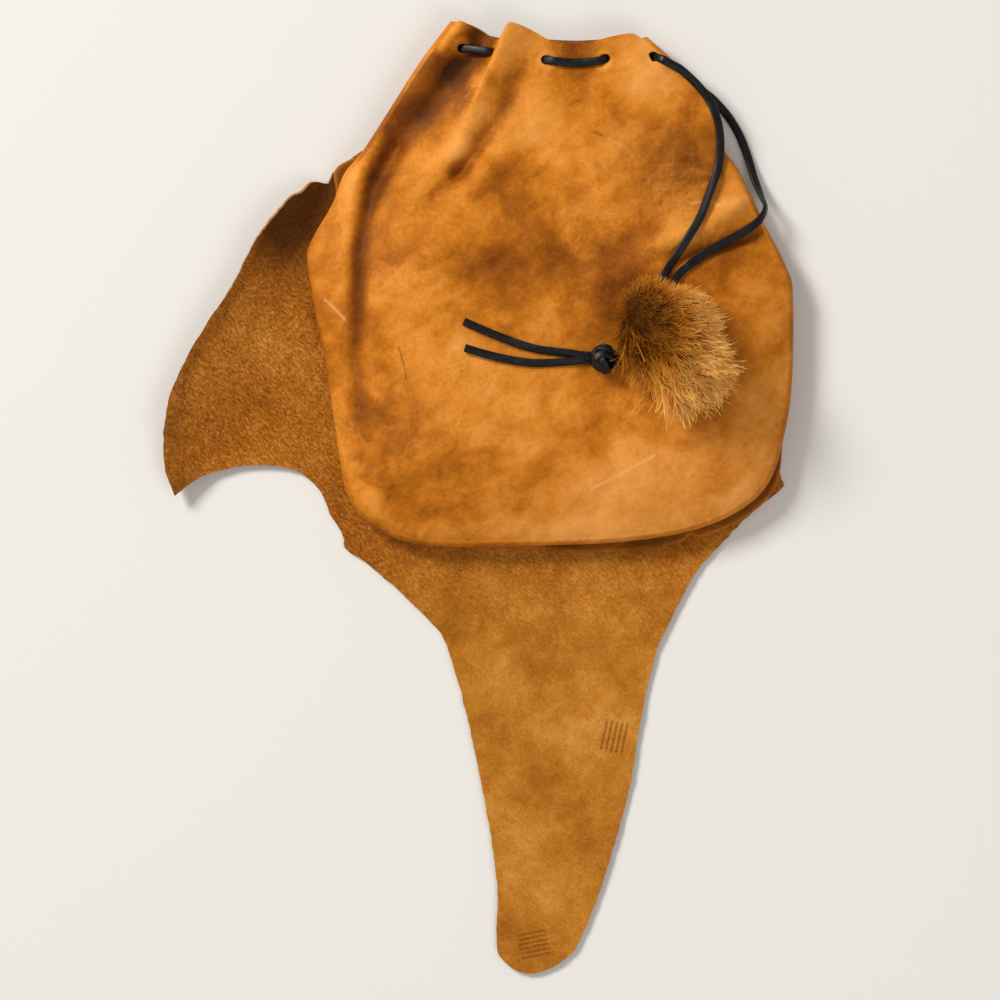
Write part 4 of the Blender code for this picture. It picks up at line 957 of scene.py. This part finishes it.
NECK_RUN = (
    (59.8, 241.7, 0), (55.4, 244.1, 0), (48.1, 246.4, 1), (38.9, 247.5, 1), (30.6, 245.4, 1),
    (23.6, 243.0, 0), (12.4, 242.2, 0), (1.5, 243.0, 0), (-5.1, 244.1, 1), (-10.4, 245.1, 1),
    (-15.6, 245.4, 1), (-20.6, 246.0, 1), (-26.4, 247.0, 1), (-30.6, 247.8, 0), (-40.1, 249.3, 0),
    (-46.9, 249.8, 1), (-50.5, 248.3, 1), (-50.1, 244.1, 2), (-46.4, 243.0, 2),
    (-39.6, 242.5, 3), (-31.1, 242.0, 3), (-23.6, 241.4, 3), (-16.5, 240.9, 2),
    (-10.4, 240.9, 2), (-4.6, 240.9, 2), (2.4, 240.9, 3), (12.4, 240.4, 3), (22.6, 240.4, 3),
    (29.4, 240.4, 2), (37.4, 240.4, 2), (45.0, 240.4, 2), (52.0, 240.1, 3), (60.0, 237.5, 3),
    (67.6, 234.1, 3), (73.4, 230.9, 3), (77.8, 228.0, 3), (81.6, 224.9, 3))
OUTER_BEND = (107.6, 169.9)
OUTER_BEND_REACH = 9.0 * MM
OUTER_BEND_TWIST = 1.0
OUTER_SPRING = (0.5, 3.0, 7.5, 11.0)
LACE_SIDES = 14
PUFF_LEVEL = 37.5 * MM
# Offsets at which the leather is felt for under the lace's width.
FEELERS = ((0, 0), (1.4, 0), (-1.4, 0), (0, 1.4), (0, -1.4))

# Black lace leather: dyed through and pressed, a satin black, painted grey along its edges as wear and
# as painted highlight.
LACE_SCUFF = 3.5 * MM
LACE_GRAIN = 0.6 * MM

lace_leather, tree, shader = new_finish("black_lace_leather")
where = add_node(tree, "ShaderNodeTexCoord").outputs["Object"]
scuff = add_node(tree, "ShaderNodeTexNoise", {
    "Vector": where, "Scale": 1 / LACE_SCUFF, "Detail": 4.0, "Roughness": 0.7})
wear_and_painted_light = add_node(tree, "ShaderNodeAttribute", attribute_name="wear_and_painted_light")
tone = add_node(tree, "ShaderNodeMath", {
    0: wear_and_painted_light.outputs["Fac"], 1: 0.14, 2: scuff}, operation="MULTIPLY_ADD")
ramp = add_node(tree, "ShaderNodeValToRGB", {"Fac": tone})
colour_stops(ramp, ((0.42, "#080607"), (0.62, "#100D0F"), (0.84, "#3A3435")))
shine = add_node(tree, "ShaderNodeMapRange", {
    "Value": scuff, "From Min": 0.3, "From Max": 0.7, "To Min": 0.34, "To Max": 0.55})
grain = add_node(tree, "ShaderNodeTexNoise", {"Vector": where, "Scale": 1 / LACE_GRAIN, "Detail": 2.0})
bump = add_node(tree, "ShaderNodeBump", {"Height": grain, "Strength": 0.25, "Distance": 0.0002})
connect(tree, shader, {
    "Base Color": ramp, "Normal": bump, "Roughness": shine,
    "Specular IOR Level": 0.28})

faces_by_piece = [BVHTree.FromPolygons(
    [v.co for v in piece.data.vertices], [p.vertices[:] for p in piece.data.polygons])
    for piece in (front, back, hide)]


def top_height(points):
    """Height of the highest leather, or the floor, at plan points."""
    heights = []
    for x, y in points:
        start = Vector((x, y, RAY_START))
        hits = [faces.ray_cast(start, Vector((0, 0, -1))) for faces in faces_by_piece]
        heights.append(max([0.0] + [hit[0].z for hit in hits if hit[0] is not None]))
    return np.array(heights)


def inside_height(points):
    """Height of the front panel's flesh side above the inside of the neck."""
    start = BACK_NECK + LEATHER_THICKNESS + 0.2 * MM
    front_faces = faces_by_piece[0]
    hits = [front_faces.ray_cast(Vector((x, y, start)), Vector((0, 0, 1))) for x, y in points]
    guess = FRONT_NECK - LEATHER_THICKNESS
    return np.array([guess if hit[0] is None else hit[0].z for hit in hits])


def lace_level(plan, face):
    """Height of the lace's middle on one of the faces that it runs over."""
    stand_off = LACE_DEPTH / 2 + LACE_CLEAR
    near = [plan + np.array(feeler) * MM for feeler in FEELERS]
    if face in (FRONT_OUTSIDE, FREE):
        return np.max([top_height(points) for points in near], axis=0) + stand_off
    if face == FRONT_INSIDE:
        return np.min([inside_height(points) for points in near], axis=0) - stand_off
    if face == BACK_INSIDE:
        return np.full(len(plan), BACK_NECK + LEATHER_THICKNESS + stand_off)
    if face == BACK_OUTSIDE:
        return np.full(len(plan), BACK_NECK - stand_off)
    return np.full(len(plan), PUFF_LEVEL)


def lace_stretch(pairs, face):
    """Points of a stretch of the lace on one face: plan and height."""
    plan = place(pairs)
    return np.column_stack([plan, lace_level(plan, face)])


neck = np.vstack([lace_stretch([point[:2]], point[2]) for point in NECK_RUN])
inner, outer = [
    np.vstack([lace_stretch(strand, FREE), lace_stretch(in_puff, IN_PUFF), lace_stretch(tail, FREE)])
    for strand, in_puff, tail in (
        (INNER_STRAND, INNER_IN_PUFF, UPPER_TAIL), (OUTER_STRAND, OUTER_IN_PUFF, LOWER_TAIL))]
# The outer strand springs up off the floor before it bends back onto the pouch.
outer[3:7, 2] += np.array(OUTER_SPRING) * MM


def settled(points):
    """A smooth even path through a stretch's points that clears the leather under it."""
    path = spread_evenly(smooth_path(points, 10), LACE_STEP)
    least = lace_level(path[:, :2], FREE)
    blend = np.hanning(13)[1:-1] / 6
    for _ in range(3):
        path[:, 2] = np.maximum(path[:, 2], least)
        soft = np.convolve(np.pad(path[:, 2], 5, mode="edge"), blend, mode="valid")
        path[4:-4, 2] = soft[4:-4]
    return path


neck_path = spread_evenly(smooth_path(neck, 10), LACE_STEP)
inner_path = settled(np.vstack([neck[:1], inner]))
outer_path = settled(np.vstack([neck[-1:], outer]))
whole = np.vstack([inner_path[:0:-1], neck_path, outer_path[1:]])
ends = (len(inner_path) - 1, len(inner_path) - 1 + len(neck_path))

forward = np.gradient(whole, axis=0)
forward /= np.linalg.norm(forward, axis=1)[:, None]
sideways = np.cross(forward, (0.0, 0.0, 1.0))
for k in range(1, len(sideways)):
    if np.linalg.norm(sideways[k]) < 0.25:
        sideways[k] = sideways[k - 1]
    sideways[k] /= np.linalg.norm(sideways[k])
for _ in range(4):
    sideways[1:-1] = (sideways[:-2] + sideways[1:-1] * 2 + sideways[2:]) / 4
sideways -= forward * (sideways * forward).sum(1)[:, None]
sideways /= np.linalg.norm(sideways, axis=1)[:, None]
# The free strands twist a little as they lie, and the outer one stands on its edge at its bend.
count = np.arange(len(whole))
half_neck = len(neck_path) / 2
free_share = 1 - ease(np.abs(count - (ends[0] + ends[1]) / 2), half_neck + 25, half_neck)
twist = LACE_TWIST * free_share * np.sin(count / 13.0 + 0.8)
bend_at = np.linalg.norm(whole[:, :2] - place(OUTER_BEND), axis=1)
twist += OUTER_BEND_TWIST * np.exp(-(bend_at / OUTER_BEND_REACH) ** 2)


def lace_strip(name, path, forward, sideways, twist):
    """A flat strip with rounded edges that follows a path, twisted about it; a closed mesh."""
    upward = np.cross(sideways, forward)
    cos, sin = np.cos(twist)[:, None], np.sin(twist)[:, None]
    wide = sideways * cos + upward * sin
    deep = upward * cos - sideways * sin
    turns = np.linspace(0, 2 * np.pi, LACE_SIDES, endpoint=False)
    x = np.sign(np.cos(turns)) * np.abs(np.cos(turns)) ** 0.55 * LACE_WIDTH / 2
    z = np.sign(np.sin(turns)) * np.abs(np.sin(turns)) ** 0.75 * LACE_DEPTH / 2
    rings = path[:, None] + wide[:, None] * x[None, :, None] + deep[:, None] * z[None, :, None]
    count = len(turns)
    faces = []
    for first in range(0, (len(path) - 1) * count, count):
        for k in range(count):
            after = (k + 1) % count
            faces.append((first + k, first + after, first + count + after, first + count + k))
    faces.append(tuple(range(count))[::-1])
    faces.append(tuple((len(path) - 1) * count + k for k in range(count)))
    mesh = bpy.data.meshes.new(name)
    mesh.from_pydata([tuple(p) for p in rings.reshape(-1, 3)], [], faces)
    solid = bmesh.new()
    solid.from_mesh(mesh)
    bmesh.ops.recalc_face_normals(solid, faces=solid.faces)
    solid.to_mesh(mesh)
    solid.free()
    mesh.materials.append(lace_leather)
    mesh.shade_smooth()
    mesh.set_sharp_from_angle(angle=np.radians(60))
    item = bpy.data.objects.new(name, mesh)
    bpy.context.scene.collection.objects.link(item)
    # Both edges of the strip are painted grey: wear and painted highlight.
    paint(item, "wear_and_painted_light", np.tile(np.abs(np.cos(turns)) ** 3, len(path)))
    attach(item, "root")
    return item


inner_lace, neck_lace, outer_lace = [
    lace_strip(name, whole[span], forward[span], sideways[span], twist[span])
    for name, span in (
        ("lace_inner_strand", slice(0, ends[0] + 1)), ("lace_neck_run", slice(ends[0], ends[1])),
        ("lace_outer_strand", slice(ends[1] - 1, len(whole))))]
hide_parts("drawstring_neck_run")
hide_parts("drawstring_inner_strand", "drawstring_upper_tail")
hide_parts("drawstring_outer_strand", "drawstring_lower_tail")


# Slots: cut through both panels with a knife, a little longer and wider than the lace.
SLOT_SIZE = (5.6 * MM, 4.8 * MM)
SLOT_REACH = 4.2 * MM
UNDER_PLEAT = (-31.0, -25.0)


def neck_at(point):
    """Point in space of a given point of the neck run."""
    return lace_stretch([point[:2]], point[2])[0]


def cut_slots(panel, outside, inside):
    """Cuts a slot through a panel wherever the lace changes from its one face to its other,
    but none where the leaning pleat covers the lace's way in."""
    solid = bmesh.new()
    for before, after in zip(NECK_RUN[:-1], NECK_RUN[1:]):
        under_pleat = UNDER_PLEAT[0] < before[0] < UNDER_PLEAT[1]
        if {before[2], after[2]} != {outside, inside} or under_pleat:
            continue
        first, last = neck_at(before), neck_at(after)
        way = last[:2] - first[:2]
        turn = Matrix.Rotation(np.arctan2(way[1], way[0]), 4, "Z")
        size = Matrix.Diagonal((*SLOT_SIZE, 2 * SLOT_REACH, 1.0))
        bmesh.ops.create_cone(
            solid, cap_ends=True, segments=20, radius1=0.5, radius2=0.5, depth=1.0,
            matrix=Matrix.Translation((first + last) / 2) @ turn @ size)
    mesh = bpy.data.meshes.new("slots")
    solid.to_mesh(mesh)
    solid.free()
    for finish in panel.data.materials:
        mesh.materials.append(finish)
    for polygon in mesh.polygons:
        polygon.material_index = 1
    cutter = bpy.data.objects.new("slots", mesh)
    bpy.context.scene.collection.objects.link(cutter)
    cut = panel.modifiers.new("slots", "BOOLEAN")
    cut.solver = "EXACT"
    cut.object = cutter
    seen = panel.evaluated_get(bpy.context.evaluated_depsgraph_get())
    mesh = bpy.data.meshes.new_from_object(seen)
    panel.modifiers.remove(cut)
    panel.data = mesh
    bpy.data.objects.remove(cutter)


cut_slots(front, FRONT_OUTSIDE, FRONT_INSIDE)
cut_slots(back, BACK_OUTSIDE, BACK_INSIDE)


# Knot: both strands tied together in one overhand knot, pulled tight against the fur.
KNOT_CENTRE = np.array((*place((26.5, 94.4)), PUFF_LEVEL + 0.2 * MM))
KNOT_STEP = 0.7 * MM
KNOT_TURNS = (
    ((9.0, 1.0, 0.0), (5.0, 1.6, 1.6), (1.5, 4.6, 2.6), (-3.4, 4.6, 1.2), (-5.2, 0.6, 2.6),
     (-3.0, -4.4, 3.4), (1.6, -5.8, 0.8), (4.4, -2.4, -3.0), (2.0, 2.4, -4.0), (-1.8, 3.4, -1.6),
     (-1.4, -0.6, 4.6), (0.8, -5.0, 4.0), (1.2, -7.2, 0.0), (-1.8, -4.4, -2.8), (-5.0, 0.0, -1.4),
     (-8.6, 1.0, -0.6)),
    ((9.0, -1.2, 0.0), (4.4, 0.6, 3.0), (-0.4, 2.2, 4.8), (-4.6, -1.0, 4.2), (-3.6, -5.2, 0.4),
     (0.6, -5.4, -2.6), (4.4, 0.4, -2.0), (3.4, 4.6, 0.6), (-0.6, 6.0, -0.8), (-3.2, 2.6, -2.8),
     (-5.2, -1.4, -1.6), (-8.6, -1.4, -0.6)),
)
for number, turns in enumerate(KNOT_TURNS):
    path = spread_evenly(smooth_path(np.array(turns) * MM + KNOT_CENTRE, 10), KNOT_STEP)
    along = np.gradient(path, axis=0)
    along /= np.linalg.norm(along, axis=1)[:, None]
    out = path - KNOT_CENTRE
    out -= along * (out * along).sum(1)[:, None]
    out[:, 2] += 0.2 * MM
    wide = np.cross(along, out)
    wide /= np.linalg.norm(wide, axis=1)[:, None]
    for _ in range(6):
        wide[1:-1] = (wide[:-2] + wide[1:-1] + wide[2:]) / 3
    wide -= along * (wide * along).sum(1)[:, None]
    wide /= np.linalg.norm(wide, axis=1)[:, None]
    lace_strip("lace_knot_" + "ab"[number], path, along, wide, np.zeros(len(path)))
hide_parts("drawstring_knot")


# Fur puff: a scrap of brown fur with blond tips, rolled round both strands of the lace. Its hair
# fans from a dark crown at the upper left to the right and down, in flat tufts.
PUFF_CROWN = np.array((*place((45.0, 109.0)), 50 * MM))
PUFF_FAN = (0.55, -0.42, 0.05)
PUFF_CORE_SHARE = (0.58, 0.92)
HAIR_THICKNESS = 0.26 * MM
HAIR_WIDTH_SHARE = 28.0
HAIR_LENGTHS = (7 * MM, 29 * MM)
LENGTH_SHARES = (0.65, 1.12)
TUFT_LEAN = 0.55
FULL_TURN = 6.283
PUFF_CLEAR = 2 * MM
puff_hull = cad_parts["fur_puff"]
hull_points = np.array([tuple(puff_hull.matrix_world @ v.co) for v in puff_hull.data.vertices])
hull_faces = BVHTree.FromPolygons(
    [Vector(p) for p in hull_points], [p.vertices[:] for p in puff_hull.data.polygons])
puff_middle = (hull_points.min(0) + hull_points.max(0)) / 2

# Fur: matte animal hair, dark brown in the crown and at the roots, sandy blond at the tips.
hair_finish, tree, shader = new_finish("brown_blond_fur")
tone = add_node(tree, "ShaderNodeAttribute", attribute_name="tone")
along = add_node(tree, "ShaderNodeAttribute", attribute_name="along")
mixed = add_node(tree, "ShaderNodeMath", {
    0: along.outputs["Fac"], 1: 0.34, 2: tone.outputs["Fac"]}, operation="MULTIPLY_ADD")
ramp = add_node(tree, "ShaderNodeValToRGB", {"Fac": mixed})
colour_stops(ramp, (
    (0.08, "#2E1504"), (0.26, "#6C3A0A"), (0.46, "#BC7018"), (0.68, "#F0A038"), (1.0, "#FFCA70")))
connect(tree, shader, {
    "Base Color": ramp, "Roughness": 0.6, "Specular IOR Level": 0.12,
    "Specular Tint": linear("#FFC080")})


def puff_core():
    """The rolled skin inside the fur: a lumpy closed body that the hair grows from."""
    mesh = bpy.data.meshes.new("fur_skin")
    solid = bmesh.new()
    bmesh.ops.create_icosphere(solid, subdivisions=5, radius=1.0)
    middle = Vector(puff_middle)
    for vertex in solid.verts:
        way = vertex.co.normalized()
        hit = hull_faces.ray_cast(middle + way * RAY_START, -way)[0]
        towards_crown = 0.5 - 0.5 * way.dot(Vector(PUFF_FAN).normalized())
        share = PUFF_CORE_SHARE[0] + (PUFF_CORE_SHARE[1] - PUFF_CORE_SHARE[0]) * towards_crown
        lump = 1 + 0.14 * noise.noise(way * 2.6)
        vertex.co = middle + (hit - middle) * share * lump
    solid.to_mesh(mesh)
    solid.free()
    mesh.shade_smooth()
    item = bpy.data.objects.new("fur_skin", mesh)
    bpy.context.scene.collection.objects.link(item)
    return item


def comb(item, reach, fan):
    """Writes each point's hair direction, length and tone as attributes."""
    points = np.array([v.co for v in item.data.vertices])
    normals = np.array([v.normal for v in item.data.vertices])
    away = points - PUFF_CROWN
    away[:, 2] *= 0.4
    distance = np.linalg.norm(away, axis=1)
    away /= distance[:, None]
    way = normals * 0.60 + away * 0.75 * ease(distance, 4 * MM, 20 * MM)[:, None]
    way += np.array(PUFF_FAN) * fan
    way[:, 2] = np.maximum(way[:, 2] * 0.8, -0.15)
    way /= np.linalg.norm(way, axis=1)[:, None]
    lengths = []
    for point, direction in zip(points, way):
        hit = hull_faces.ray_cast(Vector(point), Vector(direction))
        lengths.append(6 * MM if hit[0] is None else hit[3])
    lengths = np.clip(np.array(lengths) * reach, *HAIR_LENGTHS)
    spread = ease(np.linalg.norm(points[:, :2] - PUFF_CROWN[:2], axis=1), 4 * MM, 34 * MM)
    right = ease(points[:, 0] - PUFF_CROWN[0], -8 * MM, 24 * MM)
    tone = 0.06 + 0.30 * spread + 0.26 * right * spread
    layer = item.data.attributes.new("comb", "FLOAT_VECTOR", "POINT")
    layer.data.foreach_set("vector", way.ravel())
    paint(item, "reach", lengths)
    paint(item, "base_tone", tone)


def hair_nodes():
    """Geometry nodes that grow tapered hairs on a mesh along its comb attribute."""
    group, source = named_inputs_group("grow_hair", (
        ("Hairs per square metre", "Float"), ("Hair thickness", "Float"), ("Tuft size", "Float"),
        ("Tuft pull", "Float"), ("Stray", "Float"), ("Paleness", "Float"), ("Rests at", "Float"),
        ("Seed", "Int"), ("Finish", "Material")))
    scatter = add_node(group, "GeometryNodeDistributePointsOnFaces", {
        "Mesh": source["Geometry"], "Density": source["Hairs per square metre"],
        "Seed": source["Seed"]})
    root = add_node(group, "GeometryNodeInputPosition")
    way, reach, base_tone = [
        add_node(group, "GeometryNodeInputNamedAttribute", {"Name": name}, data_type=kind)
        for name, kind in (("comb", "FLOAT_VECTOR"), ("reach", "FLOAT"), ("base_tone", "FLOAT"))]

    cells = add_node(group, "ShaderNodeMath", {0: 1.0, 1: source["Tuft size"]}, operation="DIVIDE")
    tuft = add_node(group, "ShaderNodeTexVoronoi", {"Vector": root, "Scale": cells})
    inward = add_node(group, "ShaderNodeVectorMath", {
        0: tuft.outputs["Position"], 1: root}, operation="SUBTRACT")
    unit = add_node(group, "ShaderNodeVectorMath", {0: inward, "Scale": cells}, operation="SCALE")
    by_tuft = add_node(group, "ShaderNodeVectorMath", {
        0: tuft.outputs["Color"], 1: (0.5, 0.5, 0.5)}, operation="SUBTRACT")
    stray = add_node(group, "FunctionNodeRandomValue", {
        0: (-1.0, -1.0, -1.0), 1: (1.0, 1.0, 1.0), "Seed": source["Seed"]}, data_type="FLOAT_VECTOR")
    for part, amount in (
        (unit, source["Tuft pull"]), (by_tuft, TUFT_LEAN), (stray, source["Stray"]),
    ):
        part = add_node(group, "ShaderNodeVectorMath", {0: part, "Scale": amount}, operation="SCALE")
        way = add_node(group, "ShaderNodeVectorMath", {0: way, 1: part}, operation="ADD")

    # A hair that points down may drop no lower than the leather that the puff rests on.
    root_at = add_node(group, "ShaderNodeSeparateXYZ", {0: root})
    above = add_node(group, "ShaderNodeMath", {
        0: source["Rests at"], 1: HAIR_LENGTHS[1]}, operation="ADD")
    free_drop = add_node(group, "ShaderNodeMapRange", {
        "Value": root_at.outputs["Z"], "From Min": source["Rests at"],
        "From Max": above, "To Min": 0.02, "To Max": -1.0})
    parts = add_node(group, "ShaderNodeSeparateXYZ", {0: way})
    level = add_node(group, "ShaderNodeMath", {
        0: parts.outputs["Z"], 1: free_drop}, operation="MAXIMUM")
    way = add_node(group, "ShaderNodeCombineXYZ", {
        "X": parts.outputs["X"], "Y": parts.outputs["Y"], "Z": level})
    turn = add_node(group, "FunctionNodeRandomValue", {2: 0.0, 3: FULL_TURN}, data_type="FLOAT")
    spin = add_node(group, "ShaderNodeCombineXYZ", {"Z": turn.outputs[1]})
    start = add_node(group, "FunctionNodeEulerToRotation", {"Euler": spin})
    aim = add_node(group, "FunctionNodeAlignRotationToVector", {
        "Rotation": start, "Vector": way}, axis="Z")
    vary = add_node(group, "FunctionNodeRandomValue", {
        2: LENGTH_SHARES[0], 3: LENGTH_SHARES[1], "Seed": 3}, data_type="FLOAT")
    length = add_node(group, "ShaderNodeMath", {0: reach, 1: vary.outputs[1]}, operation="MULTIPLY")
    size = add_node(group, "ShaderNodeCombineXYZ", {"X": length, "Y": length, "Z": length})

    # One hair, one metre long before it is scaled: it curves over and tapers to its tip.
    arc = add_node(group, "GeometryNodeCurveQuadraticBezier", {
        "Resolution": 4, "Start": (0.0, 0.0, 0.0), "Middle": (0.0, 0.0, 0.55),
        "End": (0.20, 0.0, 0.94)})
    step = add_node(group, "GeometryNodeSplineParameter").outputs["Factor"]
    kept = add_node(group, "GeometryNodeCaptureAttribute", {"Geometry": arc})
    kept.capture_items.new("FLOAT", "along")
    group.links.new(step, kept.inputs[1])
    taper = add_node(group, "ShaderNodeMapRange", {
        "Value": step, "From Min": 0.35, "From Max": 1.0, "To Min": 1.0, "To Max": 0.22})
    thick = add_node(group, "GeometryNodeSetCurveRadius", {"Curve": kept, "Radius": taper})
    radius = add_node(group, "ShaderNodeMath", {
        0: source["Hair thickness"], 1: HAIR_WIDTH_SHARE}, operation="MULTIPLY")
    ring = add_node(group, "GeometryNodeCurvePrimitiveCircle", {"Resolution": 3, "Radius": radius})
    hair = add_node(group, "GeometryNodeCurveToMesh", {
        "Curve": thick, "Profile Curve": ring.outputs["Curve"], "Fill Caps": True})
    marked = add_node(group, "GeometryNodeStoreNamedAttribute", {
        "Geometry": hair, "Name": "along",
        "Value": kept.outputs[1]}, data_type="FLOAT", domain="POINT")
    copies = add_node(group, "GeometryNodeInstanceOnPoints", {
        "Points": scatter.outputs["Points"], "Instance": marked,
        "Rotation": aim, "Scale": size})
    own = add_node(group, "FunctionNodeRandomValue", {2: -0.07, 3: 0.07, "Seed": 5}, data_type="FLOAT")
    tuft_shade = add_node(group, "ShaderNodeSeparateXYZ", {0: tuft.outputs["Color"]})
    tuft_tone = add_node(group, "ShaderNodeMath", {
        0: tuft_shade, 1: 0.20, 2: -0.10}, operation="MULTIPLY_ADD")
    tone = base_tone
    for part in (own.outputs[1], tuft_tone, source["Paleness"]):
        tone = add_node(group, "ShaderNodeMath", {0: tone, 1: part}, operation="ADD")
    coloured = add_node(group, "GeometryNodeStoreNamedAttribute", {
        "Geometry": copies, "Name": "tone",
        "Value": tone}, data_type="FLOAT", domain="INSTANCE")
    real = add_node(group, "GeometryNodeRealizeInstances", {"Geometry": coloured})
    finished = add_node(group, "GeometryNodeSetMaterial", {
        "Geometry": real, "Material": source["Finish"]})
    add_node(group, "NodeGroupOutput", {"Geometry": finished})
    return group


skin = puff_core()
skin.data.materials.append(hair_finish)
hair_group = hair_nodes()
fur_pieces = [skin]
# Coats of hair: name, reach, fan, hairs per square metre, tuft size in millimetres, tuft pull,
# stray, paleness and seed.
for name, reach, fan, density, tuft, pull, stray, pale, seed in (
    ("under_fur", 0.80, 0.5, 1000e3, 6.0, 0.5, 0.34, -0.02, 4),
    ("blond_fur", 0.98, 1.0, 950e3, 8.0, 0.7, 0.22, 0.09, 9),
    ("long_wisps", 1.22, 1.7, 170e3, 9.0, 0.9, 0.20, 0.16, 12),
    ("stray_hairs", 1.20, 0.8, 40e3, 9.0, 0.0, 0.55, 0.34, 14),
):
    comb(skin, reach, fan)
    grown = run_nodes(skin, name, hair_group, {
        "Hairs per square metre": density, "Hair thickness": HAIR_THICKNESS,
        "Tuft size": tuft * MM, "Tuft pull": pull, "Stray": stray, "Paleness": pale,
        "Rests at": float(hull_points[:, 2].min()) + PUFF_CLEAR,
        "Seed": seed, "Finish": hair_finish})
    for attribute in ("comb", "reach", "base_tone"):
        skin.data.attributes.remove(skin.data.attributes[attribute])
    fur_pieces.append(grown)
paint(skin, "tone", np.full(len(skin.data.vertices), 0.12))
paint(skin, "along", np.zeros(len(skin.data.vertices)))
for piece in fur_pieces:
    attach(piece, "root")
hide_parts("fur_puff")
